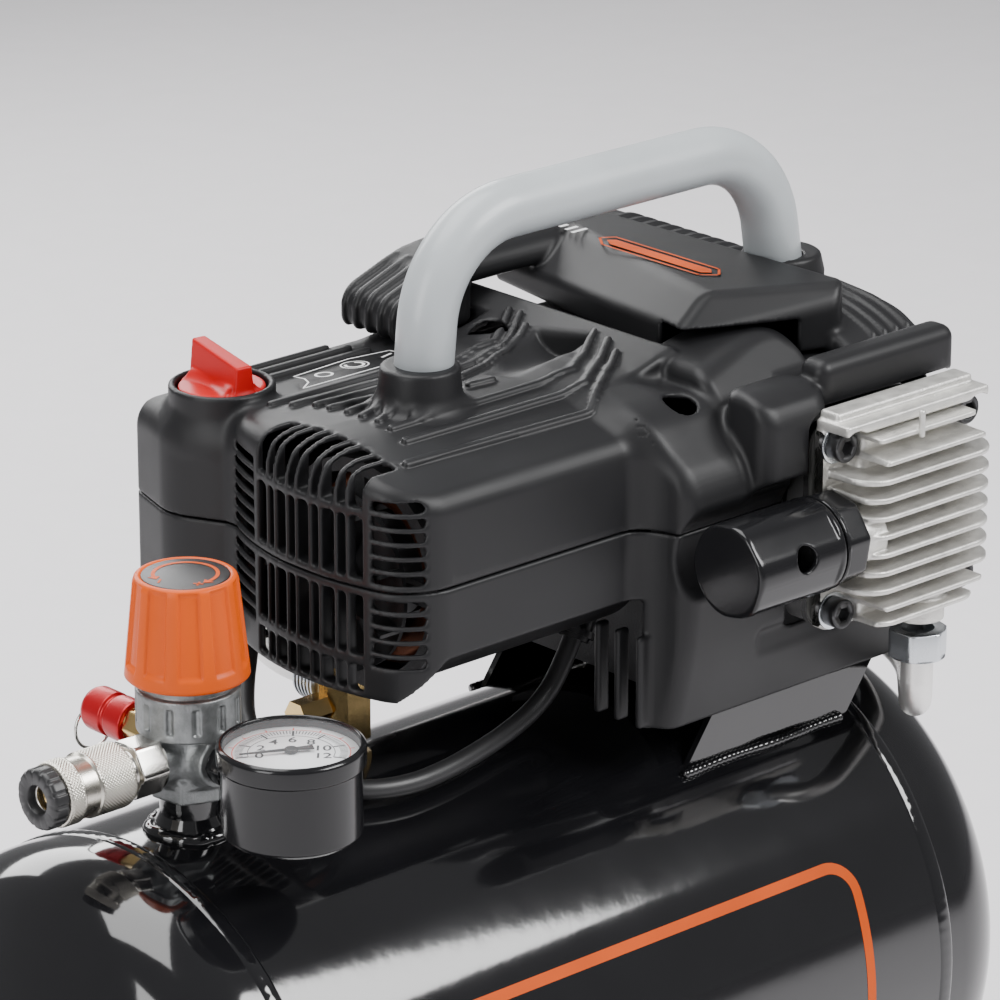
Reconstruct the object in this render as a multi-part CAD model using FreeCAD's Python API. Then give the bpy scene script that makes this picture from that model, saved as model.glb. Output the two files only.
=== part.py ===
import FreeCAD, Part
import math
import os

# Portable oil-free air compressor: a welded 24 litre tank on two wheels and a rubber foot, with a
# motor and one horizontal cylinder on top.  Millimetres.  Every piece is drawn about the tank's
# centre (X along the tank, the wheels at +X; -Y is the side of the cylinder head; +Z up) and put()
# lifts it so that z = 0 is the floor.  The origin is then the middle of the object's footprint.

V = FreeCAD.Vector
Z_AXIS = V(0, 0, 1)

# ---- driving dimensions ------------------------------------------------------------------------
TANK_R = 125.0            # outer radius of the shell
TANK_WALL = 2.5
TANK_SEAM_X = 176.4       # weld seams between shell and domes
DOME_FLANGE = 12.0        # straight part of each dome
DOME_DEPTH = 62.6         # how far each dome stands out
DOME_KNUCKLE = 42.0       # tight radius where it turns in
BEAD_W = 8.0              # weld bead over each seam
BEAD_H = 0.9
TANK_AXIS_Z = 195.0       # axis above the floor

SHAFT_Y = -10.0           # motor and crank axis, along X
SHAFT_Z = 216.0
SHAFT_R = 7.0
MOTOR_R = 49.0            # outside of the motor frame
CRANKCASE_TOP = 256.0
CYL_X = 158.0             # cylinder axis, along Y, crosses the shaft
BORE_R = 30.0
CRANK_THROW = 9.0
FLANGE_Y = -98.0          # joint face between valve plate and head
BOLT_PITCH = 74.0         # head bolts, a square

PLATFORM_X = (93.0, 191.0)
PLATFORM_Y = 65.0         # half width
PLATFORM_Z = 133.0        # top face
SHEET = 3.0               # platform and bracket steel

HANDLE_R = 12.5
HANDLE_LEG_X = (-18.0, 193.0)
HANDLE_TOP_X = (-10.0, 179.0)
HANDLE_TOP_Z = 351.0
HANDLE_FOOT_Z = 268.5

COVER_WALL = 2.6
COVER_END_X = 210.0
CRANK_ROOF_Z = 272.0
PARTING_Z = 224.0         # between upper and lower cover
GAP = 0.3                 # between neighbouring pieces that do not touch
GRILLE_X = -90.0
GRILLE_SLOTS = (6.6, 4.0, 6.6, 4.0, 6.6, 4.0, 6.6, 4.0, 6.6)    # widths, from -Y to +Y
GRILLE_BAR = 1.9
GRILLE_Y = -8.5           # middle of the grille
GRILLE_BULGE_R = 132.0    # its face bows outwards
SELECTOR = V(-60, 77, 266)    # foot of the selector's axis

WHEEL_R = 60.0
WHEEL_X = 185.0
WHEEL_Y = (104.0, 130.0)
AXLE_R = 6.0
RUNNING = 0.05            # radial clearance of running fits
FOOT_X = -165.0

REG_X = -144.0            # regulator's vertical axis, at Y = 0
REG_PORT_Z = 158.0
GAUGE_Y = -64.0
GAUGE_R = 30.0
GAUGE_TOP_Z = 181.0
GAUGE_DEPTH = 40.0
RELIEF_Z = REG_PORT_Z + 1 # axis of the safety valve
FILTER_Y = -109.0

CABLE_R = 4.25


# ---- small helpers -------------------------------------------------------------------------------
def box(x0, x1, y0, y1, z0, z1):
    return Part.makeBox(x1 - x0, y1 - y0, z1 - z0, V(x0, y0, z0))


def rod(start, end, radius, end_radius=None):
    """Round bar, or cone, between two points."""
    axis = end - start
    if end_radius is None or abs(end_radius - radius) < 1e-9:
        return Part.makeCylinder(radius, axis.Length, start, axis)
    return Part.makeCone(radius, end_radius, axis.Length, start, axis)


def tube(start, end, outer, inner):
    return rod(start, end, outer).cut(rod(start, end, inner))


def prism(points, along):
    """Closed outline of points, extruded by a vector."""
    wire = Part.makePolygon(points + [points[0]])
    return Part.Face(wire).extrude(along)


def hexagon(start, end, across_flats):
    """Hexagonal bar between two points, flats facing up and down or sideways."""
    axis = (end - start).normalize()
    side = Z_AXIS.cross(axis) if abs(axis.z) < 0.9 else V(1, 0, 0)
    side.normalize()
    other = axis.cross(side)
    radius = across_flats / math.sqrt(3)
    angles = [math.radians(60 * i) for i in range(6)]
    points = [start + side * (radius * math.cos(a)) + other * (radius * math.sin(a)) for a in angles]
    return prism(points, end - start)


def revolve(profile, base, axis=Z_AXIS):
    """Solid turned from (radius, height) points about an axis through base."""
    wire = Part.makePolygon([V(r, 0, h) for r, h in profile + [profile[0]]])
    solid = Part.Face(wire).revolve(V(0, 0, 0), Z_AXIS, 360)
    solid.Placement = FreeCAD.Placement(base, FreeCAD.Rotation(Z_AXIS, axis))
    return solid


def fuse(*shapes):
    return shapes[0].multiFuse(list(shapes[1:])).removeSplitter()


def round_edges(shape, radius, wanted):
    """Fillet the edges whose two ends satisfy wanted(a, b)."""
    edges = [e for e in shape.Edges
             if len(e.Vertexes) == 2 and wanted(e.Vertexes[0].Point, e.Vertexes[1].Point)]
    return shape.makeFillet(radius, edges)


def upright(a, b):
    return abs(a.x - b.x) < 0.01 and abs(a.y - b.y) < 0.01 and abs(a.z - b.z) > 1


def rounded_block(outline, z0, z1, corner, top):
    """Prism of (x, y) points with rounded upright corners and a rounded top edge."""
    solid = prism([V(x, y, z0) for x, y in outline], V(0, 0, z1 - z0))
    solid = round_edges(solid, corner, upright)
    rim = [e for e in solid.Edges if abs(e.BoundBox.ZMin - z1) < 0.01]
    return solid.makeFillet(top, rim)


def route(points, radius, fraction=0.45):
    """Round bar along straight runs joined by tangent arcs; returns the solid and its arc radii."""
    edges = []
    radii = []
    last = points[0]
    for before, corner, after in zip(points, points[1:], points[2:]):
        run_in = corner - before
        run_out = after - corner
        turn = run_in.getAngle(run_out)
        reach = fraction * min(run_in.Length, run_out.Length)
        radii.append(reach / math.tan(turn / 2))
        start = corner - V(run_in).normalize() * reach
        end = corner + V(run_out).normalize() * reach
        middle_out = (start + end) * 0.5 - corner
        bow = radii[-1] / math.cos(turn / 2) - radii[-1]
        middle = corner + middle_out.normalize() * bow
        edges += [Part.LineSegment(last, start).toShape(), Part.Arc(start, middle, end).toShape()]
        last = end
    edges.append(Part.LineSegment(last, points[-1]).toShape())
    path = Part.Wire(edges)
    section = Part.Wire(Part.Circle(points[0], points[1] - points[0], radius).toShape())
    solid = path.makePipeShell([section], True, False)
    return solid, radii, path.Length


def put(name, *solids):
    """Write one sub-part at its real height above the floor."""
    shape = solids[0] if len(solids) == 1 else Part.makeCompound(list(solids))
    shape = shape.copy()
    shape.translate(V(0, 0, TANK_AXIS_Z))
    shape.exportStep("parts/" + name + ".step")


# ---- tank and running gear -------------------------------------------------------------------------
def tank_form(inset):
    """Tank body as a solid: a straight drum with a dished dome on each end, shrunk by inset."""
    radius, depth, straight = TANK_R - inset, DOME_DEPTH - inset, TANK_SEAM_X + DOME_FLANGE
    knuckle = DOME_KNUCKLE - inset
    crown = (depth ** 2 + (radius - knuckle) ** 2 - knuckle ** 2) / (2 * (depth - knuckle))
    centre = straight + depth - crown
    turn = math.atan2(radius - knuckle, straight - centre)

    def on(x, z, r, angle, side):
        return V(side * (x + r * math.cos(angle)), 0, z + r * math.sin(angle))

    edges = [Part.LineSegment(V(-straight, 0, radius), V(straight, 0, radius)).toShape()]
    for side in (1, -1):
        corner = [on(straight, radius - knuckle, knuckle, a, side) for a in (math.pi / 2, (math.pi / 2 + turn) / 2, turn)]
        dish = [on(centre, 0, crown, a, side) for a in (turn, turn / 2, 0)]
        edges += [Part.Arc(V(side * straight, 0, radius), corner[1], corner[2]).toShape(),
                  Part.Arc(corner[2], dish[1], V(side * (straight + depth), 0, 0)).toShape()]
    edges.append(Part.LineSegment(V(-straight - depth, 0, 0), V(straight + depth, 0, 0)).toShape())
    outline = Part.Wire(Part.__sortEdges__(edges))
    return Part.Face(outline).revolve(V(0, 0, 0), V(1, 0, 0), 360)


def tank():
    shell = tank_form(0).cut(tank_form(TANK_WALL))
    ports = [rod(V(REG_X, 0, 90), V(REG_X, 0, 140), 9), rod(V(-38, 28, 90), V(-38, 28, 135), 8),
             rod(V(0, 0, -140), V(0, 0, -90), 6)]
    shell = shell.cut(Part.makeCompound(ports))
    return fuse(shell, *[tube(a, b, TANK_R + BEAD_H, TANK_R - 0.5) for a, b in bead_ends()])


def bead_ends():
    """The two round weld beads, each from its start to its end along the tank."""
    return [(V(s * TANK_SEAM_X - BEAD_W / 2, 0, 0), V(s * TANK_SEAM_X + BEAD_W / 2, 0, 0)) for s in (-1, 1)]


def saddle_cut():
    """The tank and its beads as one tool that trims brackets to the skin."""
    return fuse(tank_form(0), *[rod(a, b, TANK_R + BEAD_H) for a, b in bead_ends()])


def pump_platform():
    x0, x1 = PLATFORM_X
    w = PLATFORM_Y
    lean = 24.0           # the legs' slanting ends reach this much further to -X at the weld
    x2 = x0 - lean
    plate = box(x2, x1, -w, w, PLATFORM_Z - SHEET, PLATFORM_Z)
    legs = [box(x2, x1, s * w - (SHEET if s > 0 else 0), s * w + (0 if s > 0 else SHEET), 100, PLATFORM_Z)
            for s in (-1, 1)]
    ends = [prism([V(x, -w - 1, 100), V(x + lean, -w - 1, PLATFORM_Z), V(x + side, -w - 1, PLATFORM_Z + 1),
                   V(x + side, -w - 1, 99)], V(0, 2 * w + 2, 0)) for x, side in ((x2, -40), (x1 - lean, 60))]
    shape = fuse(plate, *legs)
    outer = round_edges(shape, 5, lambda a, b: abs(a.y) > w - 0.1 and abs(a.z - PLATFORM_Z) < 0.1
                        and abs(b.z - PLATFORM_Z) < 0.1 and abs(a.x - b.x) > 10)
    holes = [rod(V(x, y, 120), V(x, y, 140), 4.3) for x in (96, 183) for y in (-50, 50)]
    return outer.cut(Part.makeCompound(holes)).cut(Part.makeCompound(ends)).cut(saddle_cut())


def tank_stub():
    neck = revolve([(8, 100), (12.5, 100), (12.5, 139), (8, 139)], V(REG_X, 0, 0))
    flare = revolve([(12.4, 100), (18, 100), (17, 125.5), (14.5, 128), (12.4, 132)], V(REG_X, 0, 0))
    return fuse(neck, flare).cut(saddle_cut())


def drain_valve():
    body = fuse(hexagon(V(0, 0, -136), V(0, 0, -125.3), 17), rod(V(0, 0, -128), V(0, 0, -118), 5.9),
                rod(V(0, 0, -146), V(0, 0, -136), 6.5))
    body = body.cut(rod(V(0, 0, -147), V(0, 0, -117), 2.5))
    stem = rod(V(0, 0, -150), V(0, 0, -138), 2.5 - RUNNING)
    wing = fuse(rod(V(0, 0, -158), V(0, 0, -149), 7), box(-15, 15, -2.2, 2.2, -158, -150))
    return body, fuse(stem, wing)


def running_gear():
    """Axle bracket, axle with its caps, and both wheels, below the +X end."""
    axle_z = WHEEL_R - TANK_AXIS_Z
    cheeks = [box(WHEEL_X - 28, WHEEL_X + 28, s * 62 - 2, s * 62 + 2, axle_z - 14, -60) for s in (-1, 1)]
    web = box(WHEEL_X - 28, WHEEL_X - 25, -62, 62, axle_z + 14, -60)
    bracket = fuse(*cheeks, web).cut(rod(V(WHEEL_X, -70, axle_z), V(WHEEL_X, 70, axle_z), AXLE_R))
    bracket = bracket.cut(saddle_cut())
    axle = rod(V(WHEEL_X, -126, axle_z), V(WHEEL_X, 126, axle_z), AXLE_R)
    caps = []
    wheels = []
    inner, outer = WHEEL_Y
    for s in (-1, 1):
        middle = s * (inner + outer) / 2
        caps.append(rod(V(WHEEL_X, s * 123.4, axle_z), V(WHEEL_X, s * 128, axle_z), 11)
                    .cut(rod(V(WHEEL_X, s * 123, axle_z), V(WHEEL_X, s * 126.2, axle_z), AXLE_R)))
        hub = tube(V(WHEEL_X, s * 106, axle_z), V(WHEEL_X, s * 123, axle_z), 13, AXLE_R + RUNNING)
        disc = tube(V(WHEEL_X, middle - 4, axle_z), V(WHEEL_X, middle + 4, axle_z), 44, 12)
        felloe = tube(V(WHEEL_X, s * 106, axle_z), V(WHEEL_X, s * 128, axle_z), 48, 42)
        lighten = [rod(V(WHEEL_X + 28 * math.cos(a), middle - 9, axle_z + 28 * math.sin(a)),
                       V(WHEEL_X + 28 * math.cos(a), middle + 9, axle_z + 28 * math.sin(a)), 7.5)
                   for a in [math.radians(60 * i) for i in range(6)]]
        rim = fuse(hub, disc, felloe).cut(Part.makeCompound(lighten))
        tread = rod(V(WHEEL_X, s * inner, axle_z), V(WHEEL_X, s * outer, axle_z), WHEEL_R)
        tread = tread.makeFillet(7, [e for e in tread.Edges if len(e.Vertexes) == 1])
        tyre = tread.cut(rod(V(WHEEL_X, s * (inner - 1), axle_z), V(WHEEL_X, s * (outer + 1), axle_z), 48))
        wheels.append((rim, tyre))
    return bracket, axle, caps, wheels


def front_foot():
    """Folded strap under the -X end with two rubber feet."""
    x0, x1 = FOOT_X - 20, FOOT_X + 20
    floor = -TANK_AXIS_Z
    web = box(x0, x0 + SHEET, -80, 80, floor + 28, -60)
    shelf = box(x0, x1, -80, 80, floor + 25, floor + 28)
    cheeks = [box(x0, x1, s * 80 - (SHEET if s > 0 else 0), s * 80 + (0 if s > 0 else SHEET), floor + 25, -60)
              for s in (-1, 1)]
    strap = fuse(web, shelf, *cheeks).cut(saddle_cut())
    feet = []
    for s in (-1, 1):
        pad = revolve([(0, 0), (17, 0), (19, 3), (16, 25), (0, 25)], V(FOOT_X, s * 60, floor))
        feet.append(pad)
    return strap, feet


# ---- handle -----------------------------------------------------------------------------------------
def handle_form(radius):
    """The bent bar of the handle, its feet cut level."""
    points = [V(HANDLE_LEG_X[0], 0, HANDLE_FOOT_Z - 5), V(HANDLE_TOP_X[0], 0, HANDLE_TOP_Z),
              V(HANDLE_TOP_X[1], 0, HANDLE_TOP_Z), V(HANDLE_LEG_X[1], 0, HANDLE_FOOT_Z - 5)]
    solid, radii, length = route(points, radius, 0.46)
    return solid.common(box(-80, 260, -30, 30, HANDLE_FOOT_Z, 400))


def handle():
    bar = handle_form(HANDLE_R).cut(handle_form(HANDLE_R - 2.0))
    left, right = HANDLE_LEG_X
    saddle = box(left - 15, left + 15, -15, 15, SHAFT_Z + 30, HANDLE_FOOT_Z)
    saddle = saddle.cut(rod(on_shaft(-80), on_shaft(80), MOTOR_R))
    post = box(right - 14, right + 5, -12, 12, CRANKCASE_TOP, HANDLE_FOOT_Z)
    plugs = [rod(V(x, 0, HANDLE_FOOT_Z - 1), V(x, 0, HANDLE_FOOT_Z + 9), HANDLE_R - 4.5) for x in HANDLE_LEG_X]
    return bar, [fuse(saddle, plugs[0]), fuse(post, plugs[1])]


# ---- plastic covers -----------------------------------------------------------------------------------
def tunnel(inset):
    """Motor tunnel: the long round-shouldered box with the fan grille on its -X end."""
    x0, x1 = GRILLE_X - 4 + inset, 66 - inset
    y0, y1 = -65 + inset, 44 - inset
    outline = [(x0, y0), (x1, y0), (x1, y1), (x0, y1)]
    shape = rounded_block(outline, 120, 277 - inset, 22 - inset, 17 - inset)
    centre = V(GRILLE_X + GRILLE_BULGE_R, GRILLE_Y, 100)
    return shape.common(rod(centre, centre + V(0, 0, 200), GRILLE_BULGE_R - inset).fuse(box(0, 80, -80, 60, 100, 300)))


def switch_lobe(inset):
    """Rear left lobe that holds the pressure switch, chamfered at its corners."""
    d = inset
    outline = [(-72 + d, 48 + d), (-88 + d, 80), (-77 + d, 116 - d), (60, 116 - d), (60, 20 + d), (-72 + d, 20 + d)]
    return rounded_block(outline, 120, 266 - d, 7 - d / 2, 12 - d)


def crank_box(inset):
    """Box round the crankcase: its front wall stands proud of the tunnel and leans back at the top."""
    d = inset
    x0, x1 = 45 + d, COVER_END_X - d
    side = [V(x0, -76 + d, 120), V(x0, -89 + d, 176), V(x0, -89 + d, 246), V(x0, -66 + d, CRANK_ROOF_Z - d),
            V(x0, 96 - d, CRANK_ROOF_Z - d), V(x0, 96 - d, 120)]
    plan = [V(x0, -68, 100), V(x0 + 8, -90, 100), V(x1 - 10, -90, 100), V(x1, -80, 100),
            V(x1, 86, 100), V(x1 - 12, 98, 100), V(x0, 98, 100)]
    return prism(side, V(x1 - x0, 0, 0)).common(prism(plan, V(0, 0, 200)))


def crank_hump(inset):
    """Raised front part above the crankcase, and the lip that goes on from it over the head."""
    d = inset
    x0, x1 = 90 + d, 150 - d
    section = [V(x0, -78 + d, 250), V(x0, -50 + d, 284 - d), V(x0, -16 - d, 284 - d), V(x0, -16 - d, 250)]
    lip = [V(x1 - 20, y, z) for y, z in
           ((-92 + d, 258), (-92 + d, 279), (-88 + d, 284 - d), (-80 - d / 2, 284 - d), (-76 - d, 279),
            (-76 - d, CRANK_ROOF_Z - d), (-60, CRANK_ROOF_Z - d), (-60, 258))]
    return fuse(prism(section, V(x1 - x0, 0, 0)), prism(lip, V(206 - d - (x1 - 20), 0, 0)))


def covers_outer(inset):
    return fuse(tunnel(inset), switch_lobe(inset), crank_box(inset), crank_hump(inset))


def slot_cutters():
    """All grille slots: four rows on the end face, and stacks that wrap both upright corners."""
    cutters = []
    rows = [(257.5, 300.0), (227.5, 254.0), (194.5, 220.5), (179.0, 190.5)]
    y = GRILLE_Y - (sum(GRILLE_SLOTS) + GRILLE_BAR * (len(GRILLE_SLOTS) - 1)) / 2
    for width in GRILLE_SLOTS:
        for z0, z1 in rows:
            x1 = GRILLE_X + 24 if z1 > 280 else GRILLE_X + 9
            cutters.append(box(GRILLE_X - 5, x1, y, y + width, z0, z1))
        y += width + GRILLE_BAR
    levels = [260.0 - 6.2 * i for i in range(6)] + [218.0 - 6.2 * i for i in range(5)]
    for z in levels:
        cutters.append(box(GRILLE_X - 5, GRILLE_X + 20, -70, -44.5, z - 1.8, z + 1.8))
        cutters.append(box(GRILLE_X - 5, GRILLE_X + 17, 27.5, 50, z - 1.8, z + 1.8))
    return Part.makeCompound(cutters)


def cover_openings():
    """Where the cylinder, filter, cables and tank meet the covers."""
    head = box(111, 208.5, -110, -50, 168, 265)
    filter_panel = box(50, 112, -95, -72, 196, 240)
    under = box(-100, 44.9, -80, 130, 100, 176)
    step = box(-64, 44.9, -80, 44.3, 100, 193)
    lobe_floor = box(-100, 44.9, 44.4, 130, 100, 172)
    crank_floor = box(44, 210, -100, 130, 100, 134)
    return fuse(head, filter_panel, under, step, lobe_floor, crank_floor)


def collar(x, z0, z1, flare):
    return revolve([(HANDLE_R - 1, z0), (flare, z0), (16.8, z0 + 9), (16.8, z1), (HANDLE_R - 1, z1)],
                   V(x, 0, 0))


def covers():
    outer = covers_outer(0)
    inner = covers_outer(COVER_WALL)
    skin = outer.cut(inner).cut(cover_openings()).cut(slot_cutters())
    selector_hole = rod(SELECTOR - V(0, 0, 20), SELECTOR + V(0, 0, 30), 5.5)
    ring = tube(SELECTOR - V(0, 0, 1.5), SELECTOR + V(0, 0, 11), 22, 19)
    ring = fuse(ring, rod(SELECTOR - V(0, 0, 1.5), SELECTOR + V(0, 0, 0.5), 22, 22))
    upper = skin.common(box(-120, 240, -120, 140, PARTING_Z + GAP / 2, 320))
    upper = fuse(upper, collar(HANDLE_LEG_X[0], 274.5, 294, 20), ring)
    upper = upper.cut(handle_form(HANDLE_R + GAP)).cut(selector_hole)
    lower = skin.common(box(-120, 240, -120, 140, 100, PARTING_Z - GAP / 2))
    lobe_floor = switch_lobe(1).common(box(-100, 46, 45, 130, 172, 172 + COVER_WALL))
    lobe_floor = lobe_floor.cut(rod(V(-62, 59, 165), V(-62, 59, 180), 9))
    return upper, fuse(lower, lobe_floor)


def rear_shroud():
    """L-shaped bridge over the pump: lobe at the rear left, link along the back, plateau to the front."""
    def form(d):
        lobe = rounded_block([(28 + d, 70 + d), (74 - d, 70 + d), (74 - d, 116 - d), (28 + d, 116 - d)],
                             CRANK_ROOF_Z + GAP, 302 - d, 9 - d, 8 - d)
        link = rounded_block([(30 + d, 80 + d), (170 - d, 80 + d), (170 - d, 116 - d), (30 + d, 116 - d)],
                             289 + d, 303 - d, 8 - d, 5 - d)
        plateau = rounded_block([(101 + d, -34 + d), (168, -60 + d), (178 - d, -52 + d), (172 - d, 112 - d),
                                 (126 + d, 112 - d)], 286, 301 - d, 6 - d, 6 - d)
        side = rounded_block([(164 + d, -70 + d), (209 - d, -70 + d), (209 - d, 112 - d),
                              (164 + d, 112 - d)], CRANK_ROOF_Z + GAP, 292 - d, 10 - d, 9 - d)
        return fuse(lobe, link, plateau, side)
    outer = form(0)
    inner = form(COVER_WALL)
    keep_out = fuse(box(80, 150 + GAP, -90, -16 + GAP, 240, 284 + GAP),
                    box(80, 220, -100, -76 + GAP, 240, 284 + GAP))
    skin = outer.cut(inner).cut(keep_out)
    right = collar(HANDLE_LEG_X[1], 289.5, 299, 19)
    return fuse(skin, right).cut(handle_form(HANDLE_R + GAP))


# ---- motor ----------------------------------------------------------------------------------------------
def on_shaft(x):
    return V(x, SHAFT_Y, SHAFT_Z)


def motor():
    frame = tube(on_shaft(-56), on_shaft(58), MOTOR_R, MOTOR_R - 2.5)
    stator = tube(on_shaft(-38), on_shaft(38), 46.5, 25.5)
    slots = []
    for i in range(24):
        a = math.radians(15 * i)
        mid = V(0, 31 * math.cos(a), 31 * math.sin(a))
        slots.append(rod(on_shaft(-39) + mid, on_shaft(39) + mid, 2.2))
    stator = stator.cut(Part.makeCompound(slots))
    coils = [tube(on_shaft(x), on_shaft(x + 13.7), 41, 27.5) for x in (-52, 38.3)]
    coils = [c.makeFillet(4, c.Edges) for c in coils]
    rotor = tube(on_shaft(-38), on_shaft(38), 25, SHAFT_R)
    end_rings = [tube(on_shaft(x), on_shaft(x + 6), 22, SHAFT_R) for x in (-44, 38)]
    shaft = rod(on_shaft(-84), on_shaft(146), SHAFT_R)
    spokes = [box(-61, -57, SHAFT_Y - 46, SHAFT_Y + 46, SHAFT_Z - 4, SHAFT_Z + 4),
              box(-61, -57, SHAFT_Y - 4, SHAFT_Y + 4, SHAFT_Z - 46, SHAFT_Z + 46)]
    shield = fuse(tube(on_shaft(-61), on_shaft(-56), 49, 43), tube(on_shaft(-61), on_shaft(-53.5), 20, 16),
                  *[s.cut(rod(on_shaft(-70), on_shaft(-50), 16)) for s in spokes])
    bearings = [tube(on_shaft(x), on_shaft(x + 9), 16, SHAFT_R + RUNNING) for x in (-62, 87)]
    return frame, stator, coils, fuse(rotor, *end_rings), shaft, shield, bearings


def cooling_fan():
    hub = tube(on_shaft(-81), on_shaft(-68), 13, SHAFT_R)
    disc = tube(on_shaft(-70), on_shaft(-68), 38, 12)
    blade = box(-81, -69, 11, 38, -1, 1)
    blades = []
    for i in range(9):
        one = blade.copy()
        one.rotate(V(0, 0, 0), V(1, 0, 0), 40 * i)
        one.translate(V(0, SHAFT_Y, SHAFT_Z))
        blades.append(one)
    return fuse(hub, disc, *blades)


# ---- pump -----------------------------------------------------------------------------------------------
def crankcase():
    x0, x1 = 84.0, 200.0
    outer = rounded_block([(x0, -46), (x1, -46), (x1, 46), (x0, 46)], PLATFORM_Z, CRANKCASE_TOP, 8, 2)
    cavity = box(x0 + 14, x1 + 1, -40, 40, 141, 250)
    seat = rod(on_shaft(x0 - 1), on_shaft(x0 + 12), 16)
    shaft_way = rod(on_shaft(x0 - 1), on_shaft(x0 + 20), 11)
    throat = rod(V(CYL_X, -50, SHAFT_Z), V(CYL_X, -35, SHAFT_Z), 32)
    shell = outer.cut(Part.makeCompound([cavity, seat, throat])).cut(shaft_way)
    feet = box(x0, x1 - 8, -58, 58, PLATFORM_Z, PLATFORM_Z + 7)
    bolts = [rod(V(x, y, 130), V(x, y, 145), 4.3) for x in (96, 183) for y in (-50, 50)]
    shell = fuse(shell, feet.cut(box(x0 + 14, x1 + 1, -40, 40, 120, 150)), box(x0, x1, -46, 46, 133, 141))
    plate = rounded_block([(x1, -44), (x1 + 3.5, -44), (x1 + 3.5, 44), (x1, 44)], 142, 254, 0.6, 0.6)
    return shell.cut(Part.makeCompound(bolts)), plate


def crank():
    """Counterweighted web and its offset pin, on the end of the motor shaft."""
    web = rod(on_shaft(138), on_shaft(149), 15)
    weight = rod(on_shaft(138), on_shaft(149), 30).common(box(138, 149, -60, 60, SHAFT_Z - 40, SHAFT_Z - 5))
    pin = rod(on_shaft(149) + V(0, 0, CRANK_THROW), on_shaft(168) + V(0, 0, CRANK_THROW), 5)
    return fuse(web, weight, pin).cut(rod(on_shaft(130), on_shaft(146), SHAFT_R))


def piston_and_rod():
    ring = tube(on_shaft(CYL_X - 6), on_shaft(CYL_X + 6), 28.5, 23.5)
    shank = box(CYL_X - 5, CYL_X + 5, -66, SHAFT_Y - 26, SHAFT_Z - 9, SHAFT_Z + 9)
    link = fuse(ring, shank)
    disc = rod(V(CYL_X, -82, SHAFT_Z), V(CYL_X, -66, SHAFT_Z), BORE_R - RUNNING)
    hollow = rod(V(CYL_X, -74, SHAFT_Z), V(CYL_X, -65, SHAFT_Z), BORE_R - 5)
    post = rod(V(CYL_X, -75, SHAFT_Z), V(CYL_X, -66, SHAFT_Z), 11)
    return link, fuse(disc.cut(hollow), post)


def square_plate(half, y0, y1, corner):
    points = [V(CYL_X + sx * half, y0, SHAFT_Z + sz * half) for sx, sz in ((-1, -1), (1, -1), (1, 1), (-1, 1))]
    solid = prism(points, V(0, y1 - y0, 0))
    return round_edges(solid, corner, lambda a, b: abs(a.y - b.y) > 0.5 and abs(a.x - b.x) < 0.01)


def bolt_places():
    h = BOLT_PITCH / 2
    return [(CYL_X + sx * h, SHAFT_Z + sz * h) for sx in (-1, 1) for sz in (-1, 1)]


def cylinder():
    barrel = rod(V(CYL_X, -94, SHAFT_Z), V(CYL_X, -46, SHAFT_Z), 34)
    base = square_plate(40, -52, -46, 8)
    top = square_plate(45, -94, -84, 9)
    fins = [square_plate(42, y, y + 2, 14) for y in (-79, -73, -67, -61)]
    holes = [rod(V(x, -95, z), V(x, -83, z), 4) for x, z in bolt_places()]
    return fuse(barrel, base, top, *fins).cut(rod(V(CYL_X, -95, SHAFT_Z), V(CYL_X, -45, SHAFT_Z), BORE_R)) \
        .cut(Part.makeCompound(holes))


def valve_plate():
    holes = [rod(V(x, -99, z), V(x, -93, z), 4.2) for x, z in bolt_places()]
    ports = [rod(V(CYL_X + s * 12, -99, SHAFT_Z), V(CYL_X + s * 12, -93, SHAFT_Z), 4) for s in (-1, 1)]
    plate = square_plate(45.5, -97, -94.0, 9).cut(Part.makeCompound(holes + ports))
    gasket = square_plate(45, FLANGE_Y, -97, 9).cut(Part.makeCompound(holes))
    window = box(CYL_X - 28, CYL_X + 28, -99, -96, SHAFT_Z - 28, SHAFT_Z + 28)
    return plate, gasket.cut(window)


def cylinder_head():
    flange = square_plate(46, -103, FLANGE_Y, 9)
    core = box(CYL_X - 30, CYL_X + 30, -116, -102, SHAFT_Z - 41, SHAFT_Z + 50)
    fin_pitch = 8.1
    fins = []
    for i in range(12):
        z = SHAFT_Z - 41 + fin_pitch * i
        edge = i < 2 or i > 8
        half = 26 if edge else 39
        front = -123 if edge else -128
        if i > 9:
            half = 39 if i == 11 else 34
            front = -117 if i == 11 else -120
        fin = prism([V(CYL_X - half, -102, z), V(CYL_X + half, -102, z), V(CYL_X + half, front, z),
                     V(CYL_X - half, front, z)], V(0, 0, 2.4))
        fins.append(round_edges(fin, 9, lambda a, b: upright(a, b) and a.y < -105))
    inlet = rod(V(CYL_X - 39, -113.5, SHAFT_Z - 1.5), V(CYL_X - 28, -113.5, SHAFT_Z - 1.5), 9.5)
    outlet = rod(V(CYL_X + 9, -111, SHAFT_Z - 54), V(CYL_X + 9, -111, SHAFT_Z - 38), 9)
    head = fuse(flange, core, inlet, outlet, *fins)
    chambers = [box(CYL_X - 27, CYL_X - 2, -114, -97, SHAFT_Z - 27, SHAFT_Z + 27),
                box(CYL_X + 2, CYL_X + 27, -114, -97, SHAFT_Z - 27, SHAFT_Z + 27),
                rod(V(CYL_X - 40, -111, SHAFT_Z - 1.5), V(CYL_X - 20, -111, SHAFT_Z - 1.5), 3),
                rod(V(CYL_X + 9, -111, SHAFT_Z - 55), V(CYL_X + 9, -111, SHAFT_Z - 20), 5)]
    holes = [rod(V(x, -130, z), V(x, -97, z), 4.2) for x, z in bolt_places()]
    sinks = [rod(V(x, -130, z), V(x, -103, z), 8) for x, z in bolt_places()]
    return head.cut(Part.makeCompound(chambers)).cut(Part.makeCompound(holes)).cut(Part.makeCompound(sinks))


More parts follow.
